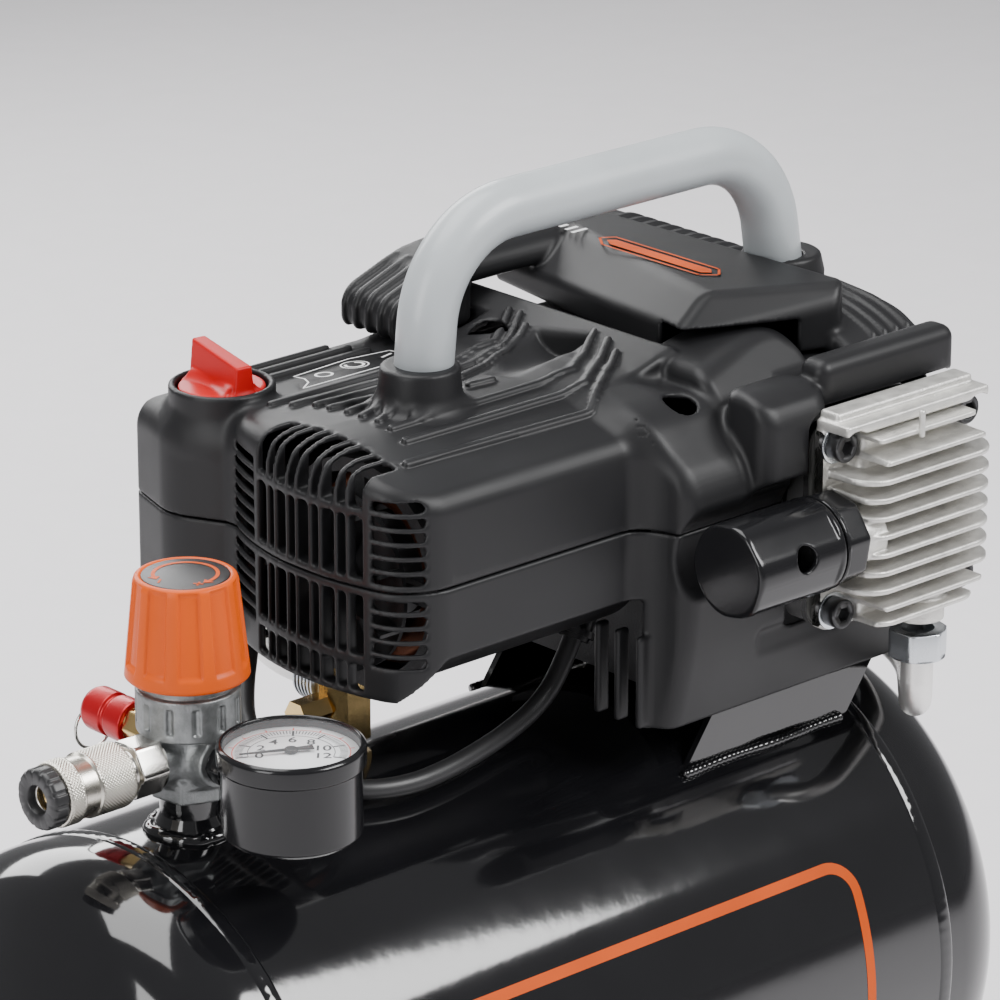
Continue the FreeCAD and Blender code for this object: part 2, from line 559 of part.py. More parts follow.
def head_bolts():
    bolts = []
    for x, z in bolt_places():
        shank = rod(V(x, -104, z), V(x, -84.5, z), 3.95)
        head = rod(V(x, -111, z), V(x, -103, z), 6.5)
        socket = hexagon(V(x, -111.5, z), V(x, -107, z), 6)
        bolts.append(fuse(shank, head).cut(socket))
    return bolts


def air_filter():
    """Round silencer filter on the head's inlet; its mouth faces the -Y side."""
    def at(x, forward=0.0):
        return V(x, FILTER_Y - forward, SHAFT_Z - 1.5)
    neck = 4.5
    base = fuse(rod(at(104), at(111.6), 20.5, 17), rod(at(110, neck), at(118.8, neck), 9.5))
    base = base.cut(rod(at(103, neck), at(122, neck), 7))
    cap = rod(at(53), at(104), 20.5)
    cap = cap.makeFillet(2.0, [e for e in cap.Edges if len(e.Vertexes) == 1 and abs(e.BoundBox.XMax - 53) < 0.1])
    cap = cap.cut(rod(at(55.5), at(105), 18))
    mouth = rod(at(80) + V(0, -25, 4), at(80) + V(0, -10, 4), 5.5)
    cap = cap.cut(mouth)
    foam = tube(at(88), at(103.8), 17.7, 8)
    return base, cap, foam


# ---- air path on the tank ------------------------------------------------------------------------------
DISCHARGE_ROUTE = [V(167, -111, 155), V(167, -111, 123), V(214, -64, 125), V(226, 5, 127), V(228, 74, 130),
                   V(203, 115, 134), V(140, 119, 138), V(75, 119, 142), V(15, 117, 146), V(-28, 98, 150),
                   V(-38, 66, 150), V(-38, 47.5, 150)]


def discharge():
    nut = hexagon(V(167, -111, 149), V(167, -111, 161.5), 22).cut(rod(V(167, -111, 148), V(167, -111, 162), 7))
    pipe, radii, length = route(DISCHARGE_ROUTE, 7.0)
    valve = fuse(hexagon(V(-38, 28, 127), V(-38, 28, 162), 22), rod(V(-38, 28, 115), V(-38, 28, 128), 7.9),
                 hexagon(V(-38, 36, 150), V(-38, 47, 150), 19), rod(V(-38, 28, 162), V(-38, 28, 168), 8),
                 hexagon(V(-49, 28, 142), V(-64, 28, 142), 12), rod(V(-50, 28, 142), V(-40, 28, 142), 5))
    valve = valve.cut(rod(V(-38, 28, 114), V(-38, 28, 158), 4))
    return nut, pipe, valve, radii


CABLE_ROUTE = [V(52, -18, 160), V(43.5, -18.8, 146), V(30, -20.5, 136), V(11, -24, 131), V(-11, -29, 129.3),
               V(-34, -33, 128), V(-57, -34, 127.8), V(-78, -28, 129.5), V(-92, -12, 133), V(-96, 9, 139),
               V(-91, 28, 146), V(-79, 43, 154.5), V(-67, 54, 165), V(-59, 61.5, 179), V(-56, 64.5, 196)]


def cable():
    solid, radii, length = route(CABLE_ROUTE, CABLE_R)
    print("cable length", round(length, 1), "radii", [round(r, 1) for r in radii])
    glands = []
    for end, before in ((CABLE_ROUTE[0], CABLE_ROUTE[1]), (CABLE_ROUTE[-1], CABLE_ROUTE[-2])):
        out = (end - before).normalize()
        glands.append(fuse(rod(end, end + out * 14, 7), rod(end + out * 2, end + out * 5, 9)))
    glands[0] = glands[0].cut(rod(on_shaft(-80), on_shaft(80), MOTOR_R))
    glands[1] = glands[1].cut(switch_block())
    return solid, glands


def switch_block():
    body = box(-67, -18, 57, 104, 205, 244)
    return body.makeFillet(3, body.Edges)


def pressure_switch():
    """Switch block under the selector, with its spring tower and its air port."""
    tower = rod(V(-60, 77, 243), V(-60, 77, 252), 9)
    port = rod(V(-30, 84, 190), V(-30, 84, 206), 7)
    return fuse(switch_block(), tower, port)


def selector_knob():
    disc = rod(SELECTOR + V(0, 0, 1.2), SELECTOR + V(0, 0, 10), 18.6, 18.2)
    disc = disc.makeFillet(1.2, [e for e in disc.Edges if len(e.Vertexes) == 1 and e.BoundBox.ZMin > 275])
    grip = box(-18, 18, -5.2, 5.2, 9.5, 23)
    grip = grip.common(rod(V(0, 0, 0), V(0, 0, 30), 17.6))
    grip.rotate(V(0, 0, 0), Z_AXIS, 83)
    grip.translate(SELECTOR)
    stem = rod(SELECTOR - V(0, 0, 13.5), SELECTOR + V(0, 0, 2), 5.5 - RUNNING)
    return fuse(disc, grip, stem)


def regulator():
    axis = V(REG_X, 0, 0)
    lower = hexagon(V(REG_X, 0, 139.2), V(REG_X, 0, 150), 28)
    block = revolve([(0, 147), (14.8, 147), (14.8, 168), (0, 168)], axis)
    upper = revolve([(0, 167), (21, 170), (21, 187), (17, 187), (17, 190), (0, 190)], axis)
    stud = rod(V(REG_X, 0, 189), V(REG_X, 0, 212), 8)
    arms = [rod(V(REG_X, 0, REG_PORT_Z), V(REG_X - 20, 0, REG_PORT_Z), 9.5),
            rod(V(REG_X, 0, REG_PORT_Z), V(REG_X, -20, REG_PORT_Z), 9.5),
            rod(V(REG_X, 0, RELIEF_Z), V(REG_X, 21, RELIEF_Z), 9.0)]
    sockets = [rod(V(REG_X, -16.5, REG_PORT_Z), V(REG_X, -21, REG_PORT_Z), 5),
               rod(V(REG_X, 17.5, RELIEF_Z), V(REG_X, 22, RELIEF_Z), 5)]
    body = fuse(lower, block, upper, stud, *arms).cut(Part.makeCompound(sockets))
    cup = revolve([(25.8, 191), (25.3, 196), (22.4, 232), (21, 234), (0, 234), (0, 213), (16, 213), (17, 204),
                   (18.5, 191)], axis)
    flutes = []
    for i in range(10):
        a = math.radians(36 * i + 10)
        low = axis + V(26.3 * math.cos(a), 26.3 * math.sin(a), 196)
        high = axis + V(23.0 * math.cos(a), 23.0 * math.sin(a), 236)
        flutes.append(rod(low, high, 1.7))
    knob = cup.cut(Part.makeCompound(flutes))
    return body, knob


def safety_valve():
    z = RELIEF_Z
    base = fuse(hexagon(V(REG_X, 21, z), V(REG_X, 34, z), 14), rod(V(REG_X, 34, z), V(REG_X, 50, z), 4.5),
                rod(V(REG_X, 18, z), V(REG_X, 21.5, z), 5))
    cap = rod(V(REG_X, 34.3, z), V(REG_X, 60, z), 9.5)
    cap = cap.cut(rod(V(REG_X, 34, z), V(REG_X, 53.5, z), 4.5 + RUNNING))
    cap = cap.cut(tube(V(REG_X, 45, z), V(REG_X, 47, z), 10, 8.4))
    tab = rod(V(REG_X, 59.5, z), V(REG_X, 64.5, z), 2.3)
    cap = fuse(cap, tab).cut(rod(V(REG_X - 4, 62.3, z), V(REG_X + 4, 62.3, z), 1.25))
    ring = Part.makeTorus(9.5, 0.7, V(REG_X, 62.3, z - 9.4), V(0, 1, 0))
    return base, cap, ring


def gauge():
    centre = V(REG_X, GAUGE_Y, 0)
    z1 = GAUGE_TOP_Z
    z0 = z1 - GAUGE_DEPTH
    case = revolve([(0, z0), (26, z0), (28.3, z0 + 3), (28.3, z1 - 9), (GAUGE_R, z1 - 8.6),
                    (GAUGE_R, z1 - 1), (29, z1), (26.5, z1), (26.5, z1 - 8), (25, z1 - 8), (25, z0 + 4),
                    (0, z0 + 4)], centre)
    stem = fuse(hexagon(V(REG_X, -28, REG_PORT_Z), V(REG_X, -20, REG_PORT_Z), 14),
                rod(V(REG_X, -43, REG_PORT_Z), V(REG_X, -28, REG_PORT_Z), 5),
                rod(V(REG_X, -20.5, REG_PORT_Z), V(REG_X, -17, REG_PORT_Z), 5))
    case = fuse(case, stem)
    dial = revolve([(0, z1 - 9), (24.8, z1 - 9), (24.8, z1 - 8.0), (0, z1 - 8.0)], centre)
    dial = dial.cut(rod(centre + V(0, 0, z1 - 10), centre + V(0, 0, z1 - 7), 1.2 + RUNNING))
    pin = rod(centre + V(0, 0, z1 - 12), centre + V(0, 0, z1 - 5.2), 1.2)
    hub = rod(centre + V(0, 0, z1 - 6.8), centre + V(0, 0, z1 - 5.2), 2.6)
    hand = prism([V(-2.0, -9, 0), V(2.0, -9, 0), V(0.7, 20, 0), V(-0.7, 20, 0)], V(0, 0, 0.6))
    hand.rotate(V(0, 0, 0), Z_AXIS, 62)
    hand.translate(centre + V(0, 0, z1 - 6.6))
    lens = revolve([(0, z1 - 3.2), (26.4, z1 - 3.2), (26.4, z1 - 1.7), (0, z1 - 1.7)], centre)
    return case, dial, fuse(pin, hub, hand), lens


def coupler():
    z = REG_PORT_Z
    def at(dx):
        return V(REG_X - dx, 0, z)
    hexa = hexagon(at(20), at(33.5), 21)
    core = fuse(hexa, rod(at(33.5), at(74), 9.0))
    bore = rod(at(30), at(79), 5.2)
    mouth = rod(at(66), at(79), 6.0)
    nose = fuse(tube(at(71), at(78), 12.8, 9.0), tube(at(74), at(78), 12.8, 6.0))
    sleeve = tube(at(37.2), at(70.5), 13.8, 9.0 + RUNNING)
    groove = tube(at(55), at(63), 15, 12.8)
    return core.cut(bore).cut(mouth), sleeve.cut(groove), nose.cut(rod(at(73), at(79), 6.0))


def capacitor():
    return rod(V(0, 86, 184), V(0, 86, 250), 16)


# ---- write every sub-part --------------------------------------------------------------------------------
def main():
    os.makedirs("parts", exist_ok=True)
    put("tank_shell", tank())
    put("pump_platform", pump_platform())
    put("tank_stub", tank_stub())
    drain_body, drain_knob = drain_valve()
    put("drain_valve_body", drain_body)
    put("drain_valve_knob", drain_knob)
    bracket, axle, caps, wheels = running_gear()
    put("axle_bracket", bracket)
    put("wheel_axle", axle)
    put("axle_caps", *caps)
    for side, (rim, tyre) in zip(("front", "rear"), wheels):
        put(side + "_wheel_rim", rim)
        put(side + "_wheel_tyre", tyre)
    strap, feet = front_foot()
    put("foot_bracket", strap)
    put("rubber_feet", *feet)
    tube_solid, support = handle()
    put("handle_tube", tube_solid)
    put("handle_mounts", *support)
    upper, lower = covers()
    put("upper_cover", upper)
    put("lower_cover", lower)
    put("rear_shroud", rear_shroud())
    put("selector_knob", selector_knob())
    put("pressure_switch", pressure_switch())
    put("start_capacitor", capacitor())
    frame, stator, coils, rotor, shaft, shield, bearings = motor()
    put("motor_frame", frame)
    put("stator_core", stator)
    put("stator_windings", *coils)
    put("rotor_core", rotor)
    put("motor_shaft", shaft)
    put("rear_end_shield", shield)
    put("motor_bearings", *bearings)
    put("cooling_fan", cooling_fan())
    case, plate = crankcase()
    put("crankcase", case)
    put("crankcase_plate", plate)
    put("crank_web", crank())
    link, piston = piston_and_rod()
    put("connecting_rod", link)
    put("piston", piston)
    put("cylinder_barrel", cylinder())
    valves, gasket = valve_plate()
    put("valve_plate", valves)
    put("head_gasket", gasket)
    put("cylinder_head", cylinder_head())
    put("head_bolts", *head_bolts())
    base, cap, foam = air_filter()
    put("filter_base", base)
    put("filter_cap", cap)
    put("filter_element", foam)
    nut, pipe, valve, radii = discharge()
    put("discharge_nut", nut)
    put("discharge_pipe", pipe)
    put("check_valve", valve)
    cord, glands = cable()
    put("motor_cable", cord)
    put("cable_glands", *glands)
    body, knob = regulator()
    put("regulator_body", body)
    put("regulator_knob", knob)
    base, cap, ring = safety_valve()
    put("safety_valve_body", base)
    put("safety_valve_cap", cap)
    put("safety_valve_ring", ring)
    case, dial, needle, lens = gauge()
    put("gauge_case", case)
    put("gauge_dial", dial)
    put("gauge_needle", needle)
    put("gauge_lens", lens)
    core, sleeve, nose = coupler()
    put("coupler_body", core)
    put("coupler_sleeve", sleeve)
    put("coupler_nose", nose)


main()
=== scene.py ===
import math

import bpy
import numpy as np
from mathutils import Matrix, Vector


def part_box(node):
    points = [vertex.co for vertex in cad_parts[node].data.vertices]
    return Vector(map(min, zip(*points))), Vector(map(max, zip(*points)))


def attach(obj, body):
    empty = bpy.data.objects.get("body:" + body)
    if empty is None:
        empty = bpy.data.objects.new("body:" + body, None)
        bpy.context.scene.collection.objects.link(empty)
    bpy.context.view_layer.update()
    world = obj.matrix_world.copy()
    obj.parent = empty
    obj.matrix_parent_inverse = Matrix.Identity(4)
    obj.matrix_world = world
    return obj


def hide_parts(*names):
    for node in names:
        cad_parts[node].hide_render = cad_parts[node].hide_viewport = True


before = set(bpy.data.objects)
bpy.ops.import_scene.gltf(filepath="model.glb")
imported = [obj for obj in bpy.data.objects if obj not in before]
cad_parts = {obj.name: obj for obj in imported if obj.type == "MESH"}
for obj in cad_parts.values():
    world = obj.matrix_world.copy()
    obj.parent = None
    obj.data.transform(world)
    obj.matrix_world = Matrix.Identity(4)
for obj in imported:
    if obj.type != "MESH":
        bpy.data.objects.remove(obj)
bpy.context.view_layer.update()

# ---- driving sizes and places in millimetres; z counts from the tank's axis ----
MM = 0.001
AXIS_Z = sum(corner[2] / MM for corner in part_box("tank_shell")) / 2
TANK_R = 125.0
SEAM_X = 176.4
PLATFORM_HALF_WIDTH = 65.0
GRILLE_X = -90.0
GRILLE_Y = -8.5
BULGE_R = 132.0
HEAD_X, HEAD_Z = 158.0, 216.0
BOLT_HALF_PITCH = 37.0
SELECTOR = np.array([-60.0, 77.0, 266.0])
LEG_X = (-18.0, 193.0)
HANDLE_TOP_X = (-10.0, 179.0)
HANDLE_TOP_Z = 351.0
HANDLE_FOOT_Z = 268.5
HANDLE_R = 12.5
HANDLE_BEND = 45.0
REG_X = -144.0
PORT_Z = 158.0
GAUGE_Y = -64.0
GAUGE_TOP_Z = 181.0
RELIEF_Z = 159.0
PARTING_Z = 224.0
PARTING_GAP = 0.25
FILTER_Y = -109.0
FILTER_Z = HEAD_Z - 1.5
WALL = 2.6
SKIN = 2.2
TRIANGLE_LIMIT = 190000


def cad_box(node):
    """A CAD node's box in millimetres, with z counted from the tank's axis."""
    low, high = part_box(node)
    shift = np.array([0, 0, AXIS_Z])
    return np.array(low) / MM - shift, np.array(high) / MM - shift


BOX_END_X = cad_box("upper_cover")[1][0]


# ---- small tools ---------------------------------------------------------------------
def add_object(name, mesh, body, material, replaced=()):
    """Puts a finished mesh in the scene on its CAD body, with its material."""
    piece = bpy.data.objects.new(name, mesh)
    bpy.context.scene.collection.objects.link(piece)
    mesh.materials.append(material)
    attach(piece, body)
    if replaced:
        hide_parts(*replaced)
    return piece


def mesh_from(name, vertices, faces, smooth=True):
    """A mesh from millimetre points about the tank's axis; faces are rows of point numbers."""
    points = (np.asarray(vertices, float) + (0, 0, AXIS_Z)) * MM
    mesh = bpy.data.meshes.new(name)
    mesh.from_pydata(points.tolist(), [], [list(map(int, f)) for f in faces])
    mesh.update()
    if smooth:
        mesh.shade_smooth()
    return mesh


def fast_quads(name, vertices, quads):
    """The same as mesh_from for very many quads."""
    points = (np.asarray(vertices, np.float32) + np.array([0, 0, AXIS_Z], np.float32)) * np.float32(MM)
    mesh = bpy.data.meshes.new(name)
    mesh.vertices.add(len(points))
    mesh.vertices.foreach_set("co", points.ravel())
    mesh.loops.add(quads.size)
    mesh.loops.foreach_set("vertex_index", quads.astype(np.int32).ravel())
    mesh.polygons.add(len(quads))
    mesh.polygons.foreach_set("loop_start", np.arange(0, quads.size, 4, dtype=np.int32))
    mesh.update(calc_edges=True)
    mesh.validate()
    mesh.shade_smooth()
    return mesh


def ring_axes(axis):
    """Two directions square to axis."""
    axis = np.array(axis, float)
    axis /= np.linalg.norm(axis)
    other = np.array([0, 0, 1.0]) if abs(axis[2]) < 0.9 else np.array([1.0, 0, 0])
    u = np.cross(other, axis)
    u /= np.linalg.norm(u)
    return axis, u, np.cross(axis, u)


def lathe(name, profile, base, axis=(0, 0, 1), segments=96, wobble=None):
    """Turns (radius, height) points about an axis; wobble(angle, height, radius) changes the radius."""
    axis, u, v = ring_axes(axis)
    angles = np.linspace(0, 2 * math.pi, segments, endpoint=False)
    vertices, rows = [], []
    for radius, height in profile:
        if radius < 1e-6:
            rows.append([len(vertices)] * segments)
            vertices.append(np.array(base) + axis * height)
            continue
        radii = radius if wobble is None else wobble(angles, height, radius)
        ring = (np.array(base) + axis * height
                + np.outer(np.cos(angles) * radii, u) + np.outer(np.sin(angles) * radii, v))
        rows.append(list(range(len(vertices), len(vertices) + segments)))
        vertices.extend(ring)
    faces = []
    for low, high in zip(rows, rows[1:]):
        for i in range(segments):
            j = (i + 1) % segments
            face = []
            for k in (low[i], low[j], high[j], high[i]):
                if k not in face:
                    face.append(k)
            if len(face) > 2:
                faces.append(face)
    return mesh_from(name, vertices, faces)


def rounded(profile, radius, steps=5):
    """Rounds the inner corners of an open (radius, height) profile."""
    points = [np.array(p, float) for p in profile]
    result = [points[0]]
    for before, here, after in zip(points, points[1:], points[2:]):
        a, b = before - here, after - here
        la, lb = np.linalg.norm(a), np.linalg.norm(b)
        if la < 1e-6 or lb < 1e-6:
            result.append(here)
            continue
        cut = min(radius, 0.45 * la, 0.45 * lb)
        start, end = here + a / la * cut, here + b / lb * cut
        for t in np.linspace(0, 1, steps):
            result.append((1 - t) ** 2 * start + 2 * t * (1 - t) * here + t ** 2 * end)
    result.append(points[-1])
    return [tuple(p) for p in result]


def bent_path(points, radius, step=3.0):
    """Points along straight runs joined by arcs of one radius, and the direction at each."""
    points = [np.array(p, float) for p in points]
    path = [points[0]]
    for before, here, after in zip(points, points[1:], points[2:]):
        a, b = before - here, after - here
        a, b = a / np.linalg.norm(a), b / np.linalg.norm(b)
        turn = math.pi - math.acos(np.clip(a @ b, -1, 1))
        reach = radius * math.tan(turn / 2)
        bisector = (a + b) / np.linalg.norm(a + b)
        centre = here + bisector * radius / math.cos(turn / 2)
        start, end = here + a * reach - centre, here + b * reach - centre
        for t in np.linspace(0, 1, max(3, int(turn * radius / step))):
            path.append(centre + (np.sin((1 - t) * turn) * start + np.sin(t * turn) * end) / math.sin(turn))
    path.append(points[-1])
    return path


def sweep(name, path, radius, segments=32, ripple=None, caps=True):
    """A round tube along a path; ripple(i, angles) gives a factor on the radius."""
    path = np.array(path, float)
    along = np.gradient(path, axis=0)
    along /= np.linalg.norm(along, axis=1)[:, None]
    side = np.cross(along[0], (0, 0, 1.0) if abs(along[0][2]) < 0.9 else (1.0, 0, 0))
    side /= np.linalg.norm(side)
    angles = np.linspace(0, 2 * math.pi, segments, endpoint=False)
    vertices = []
    for i, (point, way) in enumerate(zip(path, along)):
        side = side - way * (side @ way)
        side /= np.linalg.norm(side)
        up = np.cross(way, side)
        factor = 1.0 if ripple is None else ripple(i, angles)
        vertices.extend(point + radius * (np.outer(np.cos(angles) * factor, side)
                                          + np.outer(np.sin(angles) * factor, up)))
    faces = []
    last = (len(path) - 1) * segments
    for row in range(0, last, segments):
        for j in range(segments):
            k = (j + 1) % segments
            faces.append((row + j, row + k, row + segments + k, row + segments + j))
    if caps:
        faces.append(list(range(segments))[::-1])
        faces.append(list(range(last, last + segments)))
    return mesh_from(name, vertices, faces)


def joined(name, meshes):
    """One mesh made of several, with nothing merged."""
    vertices, faces = [], []
    for mesh in meshes:
        start = len(vertices)
        vertices.extend(tuple(v.co) for v in mesh.vertices)
        faces.extend([i + start for i in p.vertices] for p in mesh.polygons)
    result = bpy.data.meshes.new(name)
    result.from_pydata(vertices, [], faces)
    result.update()
    result.shade_smooth()
    return result


# ---- solids described by distance ----------------------------------------------------
def meet(values, radius):
    """Distance to what lies inside every value, with its outer edges rounded."""
    values = np.broadcast_arrays(*values)
    highest = values[0]
    total = 0.0
    for value in values:
        highest = np.maximum(highest, value)
        total = total + np.maximum(value + radius, 0) ** 2
    return np.where(highest + radius > 0, np.sqrt(total) - radius, highest)


def merge(a, b, radius):
    """Distance to two shapes together, with a fillet where they join."""
    return -meet([-a, -b], radius) if radius > 0 else np.minimum(a, b)


def plane(p, normal, point):
    """Signed distance beyond a plane through point; p is the grid's (x, y, z)."""
    n = np.array(normal, float)
    n /= np.linalg.norm(n)
    return sum(float(n[i]) * (p[i] - float(point[i])) for i in range(3))


def block(p, low, high, radius):
    sides = [low[i] - p[i] for i in range(3)] + [p[i] - high[i] for i in range(3)]
    return meet(sides, radius)


def fence(p, outline, axes, radius):
    """Distance to a convex outline, given counter-clockwise in the two named axes (0 x, 1 y, 2 z)."""
    i, j = axes
    sides = []
    for (a0, b0), (a1, b1) in zip(outline, outline[1:] + outline[:1]):
        length = math.hypot(a1 - a0, b1 - b0)
        sides.append(((p[i] - a0) * (b1 - b0) - (p[j] - b0) * (a1 - a0)) / length)
    return meet(sides, radius)


def cylinder(p, start, end, radius, edge=0.0, end_radius=None):
    """A round bar, or a cone when end_radius is given."""
    start, end = np.array(start, float), np.array(end, float)
    length = np.linalg.norm(end - start)
    way = (end - start) / length
    rel = [p[i] - start[i] for i in range(3)]
    t = sum(rel[i] * float(way[i]) for i in range(3))
    square = sum(r * r for r in rel) - t * t
    across = np.sqrt(np.maximum(square, 0))
    wide = radius if end_radius is None else radius + (end_radius - radius) * t / length
    return meet([across - wide, -t, t - length], max(edge, 1e-3))


def prism(u, v, count, first, half_width, edge):
    """A bar with equal flats about (0, 0); the first looks towards an angle given in degrees."""
    flats = []
    for k in range(count):
        t = math.radians(first + k * 360 / count)
        flats.append(u * math.cos(t) + v * math.sin(t) - half_width)
    return meet(flats, edge)


def beside_line(p, points, half_width):
    """Distance outside a line of the given half width, seen from above."""
    best = None
    for (x0, y0), (x1, y1) in zip(points, points[1:]):
        length2 = (x1 - x0) ** 2 + (y1 - y0) ** 2
        t = np.clip(((p[0] - x0) * (x1 - x0) + (p[1] - y0) * (y1 - y0)) / length2, 0, 1)
        d = np.hypot(p[0] - x0 - t * (x1 - x0), p[1] - y0 - t * (y1 - y0)) - half_width
        best = d if best is None else np.minimum(best, d)
    return best


CORNERS = np.array([(i, j, k) for i in (0, 1) for j in (0, 1) for k in (0, 1)])
FAR = 50.0


class Clay:
    """Distances on a regular grid; the solid is where they are negative."""

    def __init__(self, low, high, step):
        self.step = step * 1.0
        self.low = np.array(low, float) - 2 * self.step
        counts = np.ceil((np.array(high, float) + 2 * self.step - self.low) / self.step).astype(int) + 1
        self.axes = [self.low[i] + self.step * np.arange(counts[i]) for i in range(3)]
        self.field = np.full(counts, FAR, np.float32)

    def patch(self, low, high):
        """The part of the grid between two corners: its slices, and its (x, y, z)."""
        spans = []
        for axis, a, b in zip(self.axes, low, high):
            spans.append(slice(int(np.searchsorted(axis, a)), int(np.searchsorted(axis, b)) + 1))
        grid = [axis[s].astype(np.float32) for axis, s in zip(self.axes, spans)]
        p = (grid[0][:, None, None], grid[1][None, :, None], grid[2][None, None, :])
        return tuple(spans), p

    def everywhere(self):
        return self.patch([a[0] for a in self.axes], [a[-1] for a in self.axes])

    def add(self, shape, low=None, high=None, fillet=0.0):
        spans, p = self.everywhere() if low is None else self.patch(low, high)
        self.field[spans] = merge(self.field[spans], shape(p), fillet)

    def cut(self, shape, low=None, high=None, edge=0.0):
        spans, p = self.everywhere() if low is None else self.patch(low, high)
        here, outside = self.field[spans], -shape(p)
        self.field[spans] = meet([here, outside], edge) if edge > 0 else np.maximum(here, outside)

    def cut_block(self, low, high, radius, edge):
        """Cuts a rounded block, working only on the grid near it."""
        self.cut(lambda p: block(p, low, high, radius), np.array(low) - 3, np.array(high) + 3, edge)

    def rib(self, points, half_width, height, low, high):
        """Raises the surface along a line drawn on it from above."""
        spans, p = self.patch(low, high)
        here = self.field[spans]
        ridge = meet([beside_line(p, points, half_width), here - height], 0.8)
        self.field[spans] = np.minimum(here, ridge)

    def mesh(self, name):
        """The surface at distance zero: a point in each crossed cell, a quad at each crossed edge."""
        field = self.field
        inside = field < 0
        parts = [inside[i:inside.shape[0] - 1 + i, j:inside.shape[1] - 1 + j, k:inside.shape[2] - 1 + k]
                 for i, j, k in CORNERS]
        count = sum(part.astype(np.int8) for part in parts)
        active = (count > 0) & (count < 8)
        cells = np.argwhere(active)
        number = np.full(active.shape, -1, np.int32)
        number[active] = np.arange(len(cells), dtype=np.int32)
        values = np.stack([field[tuple((cells + c).T)] for c in CORNERS], axis=1)
        total = np.zeros((len(cells), 3), np.float32)
        crossings = np.zeros(len(cells), np.float32)
        for a in range(8):
            for b in range(a + 1, 8):
                if np.abs(CORNERS[a] - CORNERS[b]).sum() != 1:
                    continue
                va, vb = values[:, a], values[:, b]
                mixed = (va < 0) != (vb < 0)
                t = np.where(mixed, va / np.where(mixed, va - vb, 1), 0)
                total += mixed[:, None] * (CORNERS[a] + t[:, None] * (CORNERS[b] - CORNERS[a]))
                crossings += mixed
        vertices = self.low + self.step * (cells + total / crossings[:, None])
        quads = []
        for axis in range(3):
            one, two = (axis + 1) % 3, (axis + 2) % 3
            low = [slice(None)] * 3
            high = [slice(None)] * 3
            low[axis], high[axis] = slice(0, -1), slice(1, None)
            here, there = inside[tuple(low)], inside[tuple(high)]
            for flip, mask in ((False, here & ~there), (True, ~here & there)):
                places = np.argwhere(mask)
                keep = (places[:, one] > 0) & (places[:, two] > 0)
                keep &= (places[:, one] < number.shape[one]) & (places[:, two] < number.shape[two])
                places = places[keep]
                square = []
                for da, db in ((1, 1), (0, 1), (0, 0), (1, 0)):
                    at = places.copy()
                    at[:, one] -= da
                    at[:, two] -= db
                    square.append(number[tuple(at.T)])
                square = np.stack(square, axis=1)
                quads.append(square[:, ::-1] if flip else square)
        quads = np.concatenate(quads)
        quads = quads[(quads >= 0).all(axis=1)]
        return fast_quads(name, vertices, quads)


def thin_out(piece, limit=TRIANGLE_LIMIT):
    """Merges triangles on flat stretches until the piece has at most limit of them."""
    triangles = 2 * len(piece.data.polygons)
    if triangles > limit:
        modifier = piece.modifiers.new("thin", "DECIMATE")
        modifier.ratio = limit / triangles


# ---- materials -----------------------------------------------------------------------
def material(name, colour, rough, metal=0.0, grain=0.0, grain_size=0.0006, tint=0.08, rough_range=0.08,
             coat=0.0, patches=0.03, wear=0.0, wear_colour=(0.3, 0.3, 0.3), specular=0.5):
    """Principled surface with cloudy tint and roughness, a fine grain, and wear where edges stand out."""
    made = bpy.data.materials.new(name)
    made.use_nodes = True
    nodes, links = made.node_tree.nodes, made.node_tree.links
    shader = nodes["Principled BSDF"]
    shader.inputs["Metallic"].default_value = metal
    shader.inputs["Specular IOR Level"].default_value = specular
    shader.inputs["Coat Weight"].default_value = coat
    shader.inputs["Coat Roughness"].default_value = 0.06
    where = nodes.new("ShaderNodeTexCoord")
    cloud = nodes.new("ShaderNodeTexNoise")
    cloud.inputs["Scale"].default_value = 1 / patches
    cloud.inputs["Detail"].default_value = 5
    links.new(where.outputs["Object"], cloud.inputs["Vector"])
    ramp = nodes.new("ShaderNodeValToRGB")
    ramp.color_ramp.elements[0].position = 0.3
    ramp.color_ramp.elements[1].position = 0.7
    ramp.color_ramp.elements[0].color = (*[c * (1 - tint) for c in colour], 1)
    ramp.color_ramp.elements[1].color = (*[min(1, c * (1 + tint)) for c in colour], 1)
    links.new(cloud.outputs["Fac"], ramp.inputs["Fac"])
    base = ramp.outputs["Color"]
    if wear:
        geometry = nodes.new("ShaderNodeNewGeometry")
        edge = nodes.new("ShaderNodeMapRange")
        edge.inputs["From Min"].default_value = 0.52
        edge.inputs["From Max"].default_value = 0.60
        edge.inputs["To Max"].default_value = wear
        links.new(geometry.outputs["Pointiness"], edge.inputs["Value"])
        mix = nodes.new("ShaderNodeMix")
        mix.data_type = "RGBA"
        mix.inputs["B"].default_value = (*wear_colour, 1)
        links.new(edge.outputs["Result"], mix.inputs["Factor"])
        links.new(base, mix.inputs["A"])
        base = mix.outputs["Result"]
    links.new(base, shader.inputs["Base Color"])
    rough_map = nodes.new("ShaderNodeMapRange")
    rough_map.inputs["To Min"].default_value = max(0.02, rough - rough_range)
    rough_map.inputs["To Max"].default_value = min(1.0, rough + rough_range)
    links.new(cloud.outputs["Fac"], rough_map.inputs["Value"])
    links.new(rough_map.outputs["Result"], shader.inputs["Roughness"])
    if grain:
        fine = nodes.new("ShaderNodeTexNoise")
        fine.inputs["Scale"].default_value = 1 / grain_size
        fine.inputs["Detail"].default_value = 3
        links.new(where.outputs["Object"], fine.inputs["Vector"])
        bump = nodes.new("ShaderNodeBump")
        bump.inputs["Strength"].default_value = grain
        bump.inputs["Distance"].default_value = grain_size * 0.5
        links.new(fine.outputs["Fac"], bump.inputs["Height"])
        links.new(bump.outputs["Normal"], shader.inputs["Normal"])
    return made


